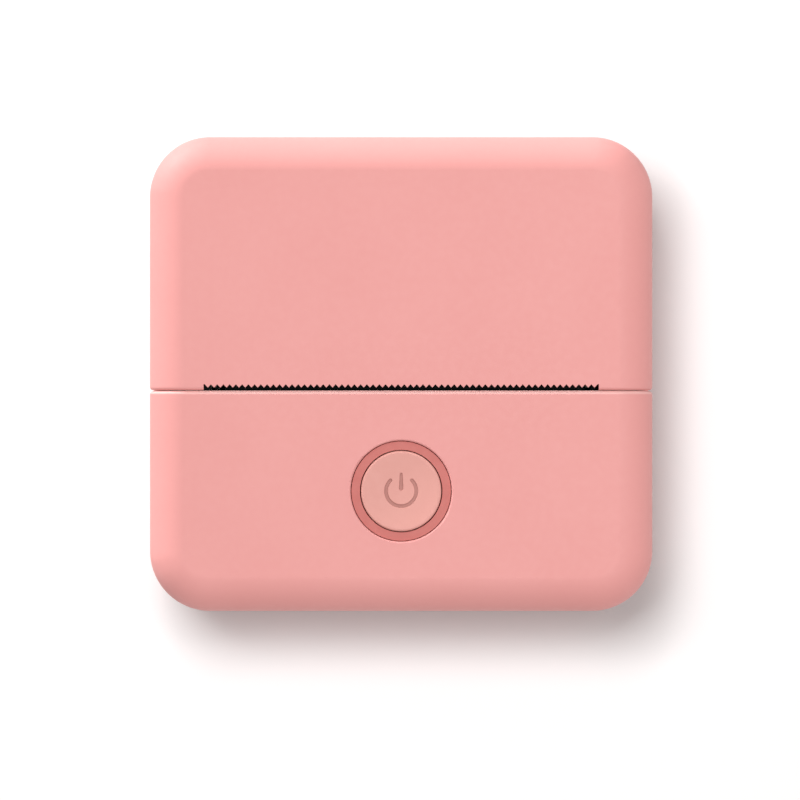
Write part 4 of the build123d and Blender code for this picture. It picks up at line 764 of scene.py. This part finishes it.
# %% [markdown]
# ## Screws with a cross recess
# A plain disc doesn't read as a screw. The screws of the case stand deep in wells under the base, and three more hold
# the roller's bracket under the lid. Each is a copy of the frame's node, with a tapered cross cut into every head.
# A boolean suits this, because the heads are simple closed shapes.

# %% Cross cutter
arm_width_share = 0.42
taper = 0.55


def cross_cutter(x, y, face_z, into, arm, depth):
    """A four-armed recess about a screw's middle, which narrows as it goes into the head."""
    bpy.ops.object.select_all(action="DESELECT")
    arms = []
    for turn in (0, math.pi / 2):
        bpy.ops.mesh.primitive_cube_add(size=1, location=(x, y, face_z), rotation=(0, 0, turn))
        arms.append(bpy.context.object)
        bpy.context.object.scale = (2 * arm, arm * arm_width_share, 2 * depth)
        bpy.ops.object.transform_apply(location=True, rotation=True, scale=True)
        for vertex in bpy.context.object.data.vertices:
            if (vertex.co.z - face_z) * into > 0:
                vertex.co.x = x + (vertex.co.x - x) * taper
                vertex.co.y = y + (vertex.co.y - y) * taper
        bpy.ops.object.select_all(action="DESELECT")
    return arms


def recessed_screws(node, name, body, into, arm, depth):
    """Copies a node of screws and cuts a cross into each head, from below when into is 1."""
    piece = bpy.data.objects.new(name, frame["nodes"][node].data.copy())
    bpy.context.scene.collection.objects.link(piece)
    only(piece)
    bpy.ops.object.mode_set(mode="EDIT")
    bpy.ops.mesh.select_all(action="SELECT")
    bpy.ops.mesh.remove_doubles(threshold=0.000001)
    bpy.ops.mesh.dissolve_limited(angle_limit=math.radians(0.5))
    bpy.ops.mesh.separate(type="LOOSE")
    bpy.ops.object.mode_set(mode="OBJECT")
    screws = list(bpy.context.selected_objects)
    for screw in screws:
        spots = [vertex.co.copy() for vertex in screw.data.vertices]
        x = (min(spot.x for spot in spots) + max(spot.x for spot in spots)) / 2
        y = (min(spot.y for spot in spots) + max(spot.y for spot in spots)) / 2
        face_z = min(spot.z for spot in spots) if into > 0 else max(spot.z for spot in spots)
        for cutter in cross_cutter(x, y, face_z, into, arm, depth):
            only(screw)
            recess = screw.modifiers.new("recess", "BOOLEAN")
            recess.operation = "DIFFERENCE"
            recess.solver = "EXACT"
            recess.object = cutter
            bpy.ops.object.modifier_apply(modifier=recess.name)
            bpy.data.objects.remove(cutter)
    for screw in screws:
        screw.select_set(True)
    bpy.context.view_layer.objects.active = screws[0]
    bpy.ops.object.join()
    joined = bpy.context.object
    joined.name = name
    bpy.ops.object.shade_smooth_by_angle(angle=math.radians(30))
    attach(joined, body)
    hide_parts(node)
    print(name, len(screws), "screws,", len(joined.data.polygons), "faces")


recessed_screws("case_screws", "case_screws_crossed", "base", 1, 1.1 * MM, 0.7 * MM)
recessed_screws("bracket_screws", "bracket_screws_crossed", "lid", 1, 0.9 * MM, 0.5 * MM)
recessed_screws("frame_screws", "frame_screws_crossed", "base", -1, 0.9 * MM, 0.5 * MM)

# %% [markdown]
# ## Dark strips on the frame, as painted shade
# Seen through the ends of the paper slot, the plates of the frame would shine. A thin black strip, drawn as felt,
# lies along the top of each plate as painted shade, so the ends of the slot stay dark. It ends under the tips of the
# tear teeth, just ahead of the bush's seat. A cube is laid on the plate and its edges are rounded. Its fibres come
# from the material.

# %% Dark strips as painted shade
# painted shade: a black felt-like finish on strips that hide the plates' shine
shade_strip_finish = plastic("black_strip_painted_shade", (26, 25, 25), (14, 13, 13), (0.85, 0.95), 3200.0, 0.00006)
frame_low, frame_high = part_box("head_frame")
bush_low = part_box("roller_bushes")[0]
strip_height = 0.35 * MM
strip_edge = 0.12 * MM
strip_setback = 0.3 * MM
under_teeth = 0.65 * MM
strip_front = frame_low.y + strip_setback
strip_rear = bush_low.y + under_teeth
plate_thickness = 1.5 * MM
for side, strip_name in ((-1, "left"), (1, "right")):
    bpy.ops.object.select_all(action="DESELECT")
    plate_middle = side * (frame_high.x - plate_thickness / 2)
    bpy.ops.mesh.primitive_cube_add(
        size=1, location=(plate_middle, (strip_front + strip_rear) / 2, frame_high.z + strip_height / 2)
    )
    strip = bpy.context.object
    strip.name = "shade_strip_" + strip_name
    strip.scale = (plate_thickness, strip_rear - strip_front, strip_height)
    bpy.ops.object.transform_apply(location=True, rotation=True, scale=True)
    rounding = strip.modifiers.new("soft edge", "BEVEL")
    rounding.width = strip_edge
    rounding.segments = 3
    bpy.ops.object.modifier_apply(modifier=rounding.name)
    bpy.ops.object.shade_smooth_by_angle(angle=math.radians(40))
    strip.data.materials.append(shade_strip_finish)
    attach(strip, "base")
    print(strip.name, "from", round(strip_front / MM, 2), "to", round(strip_rear / MM, 2))
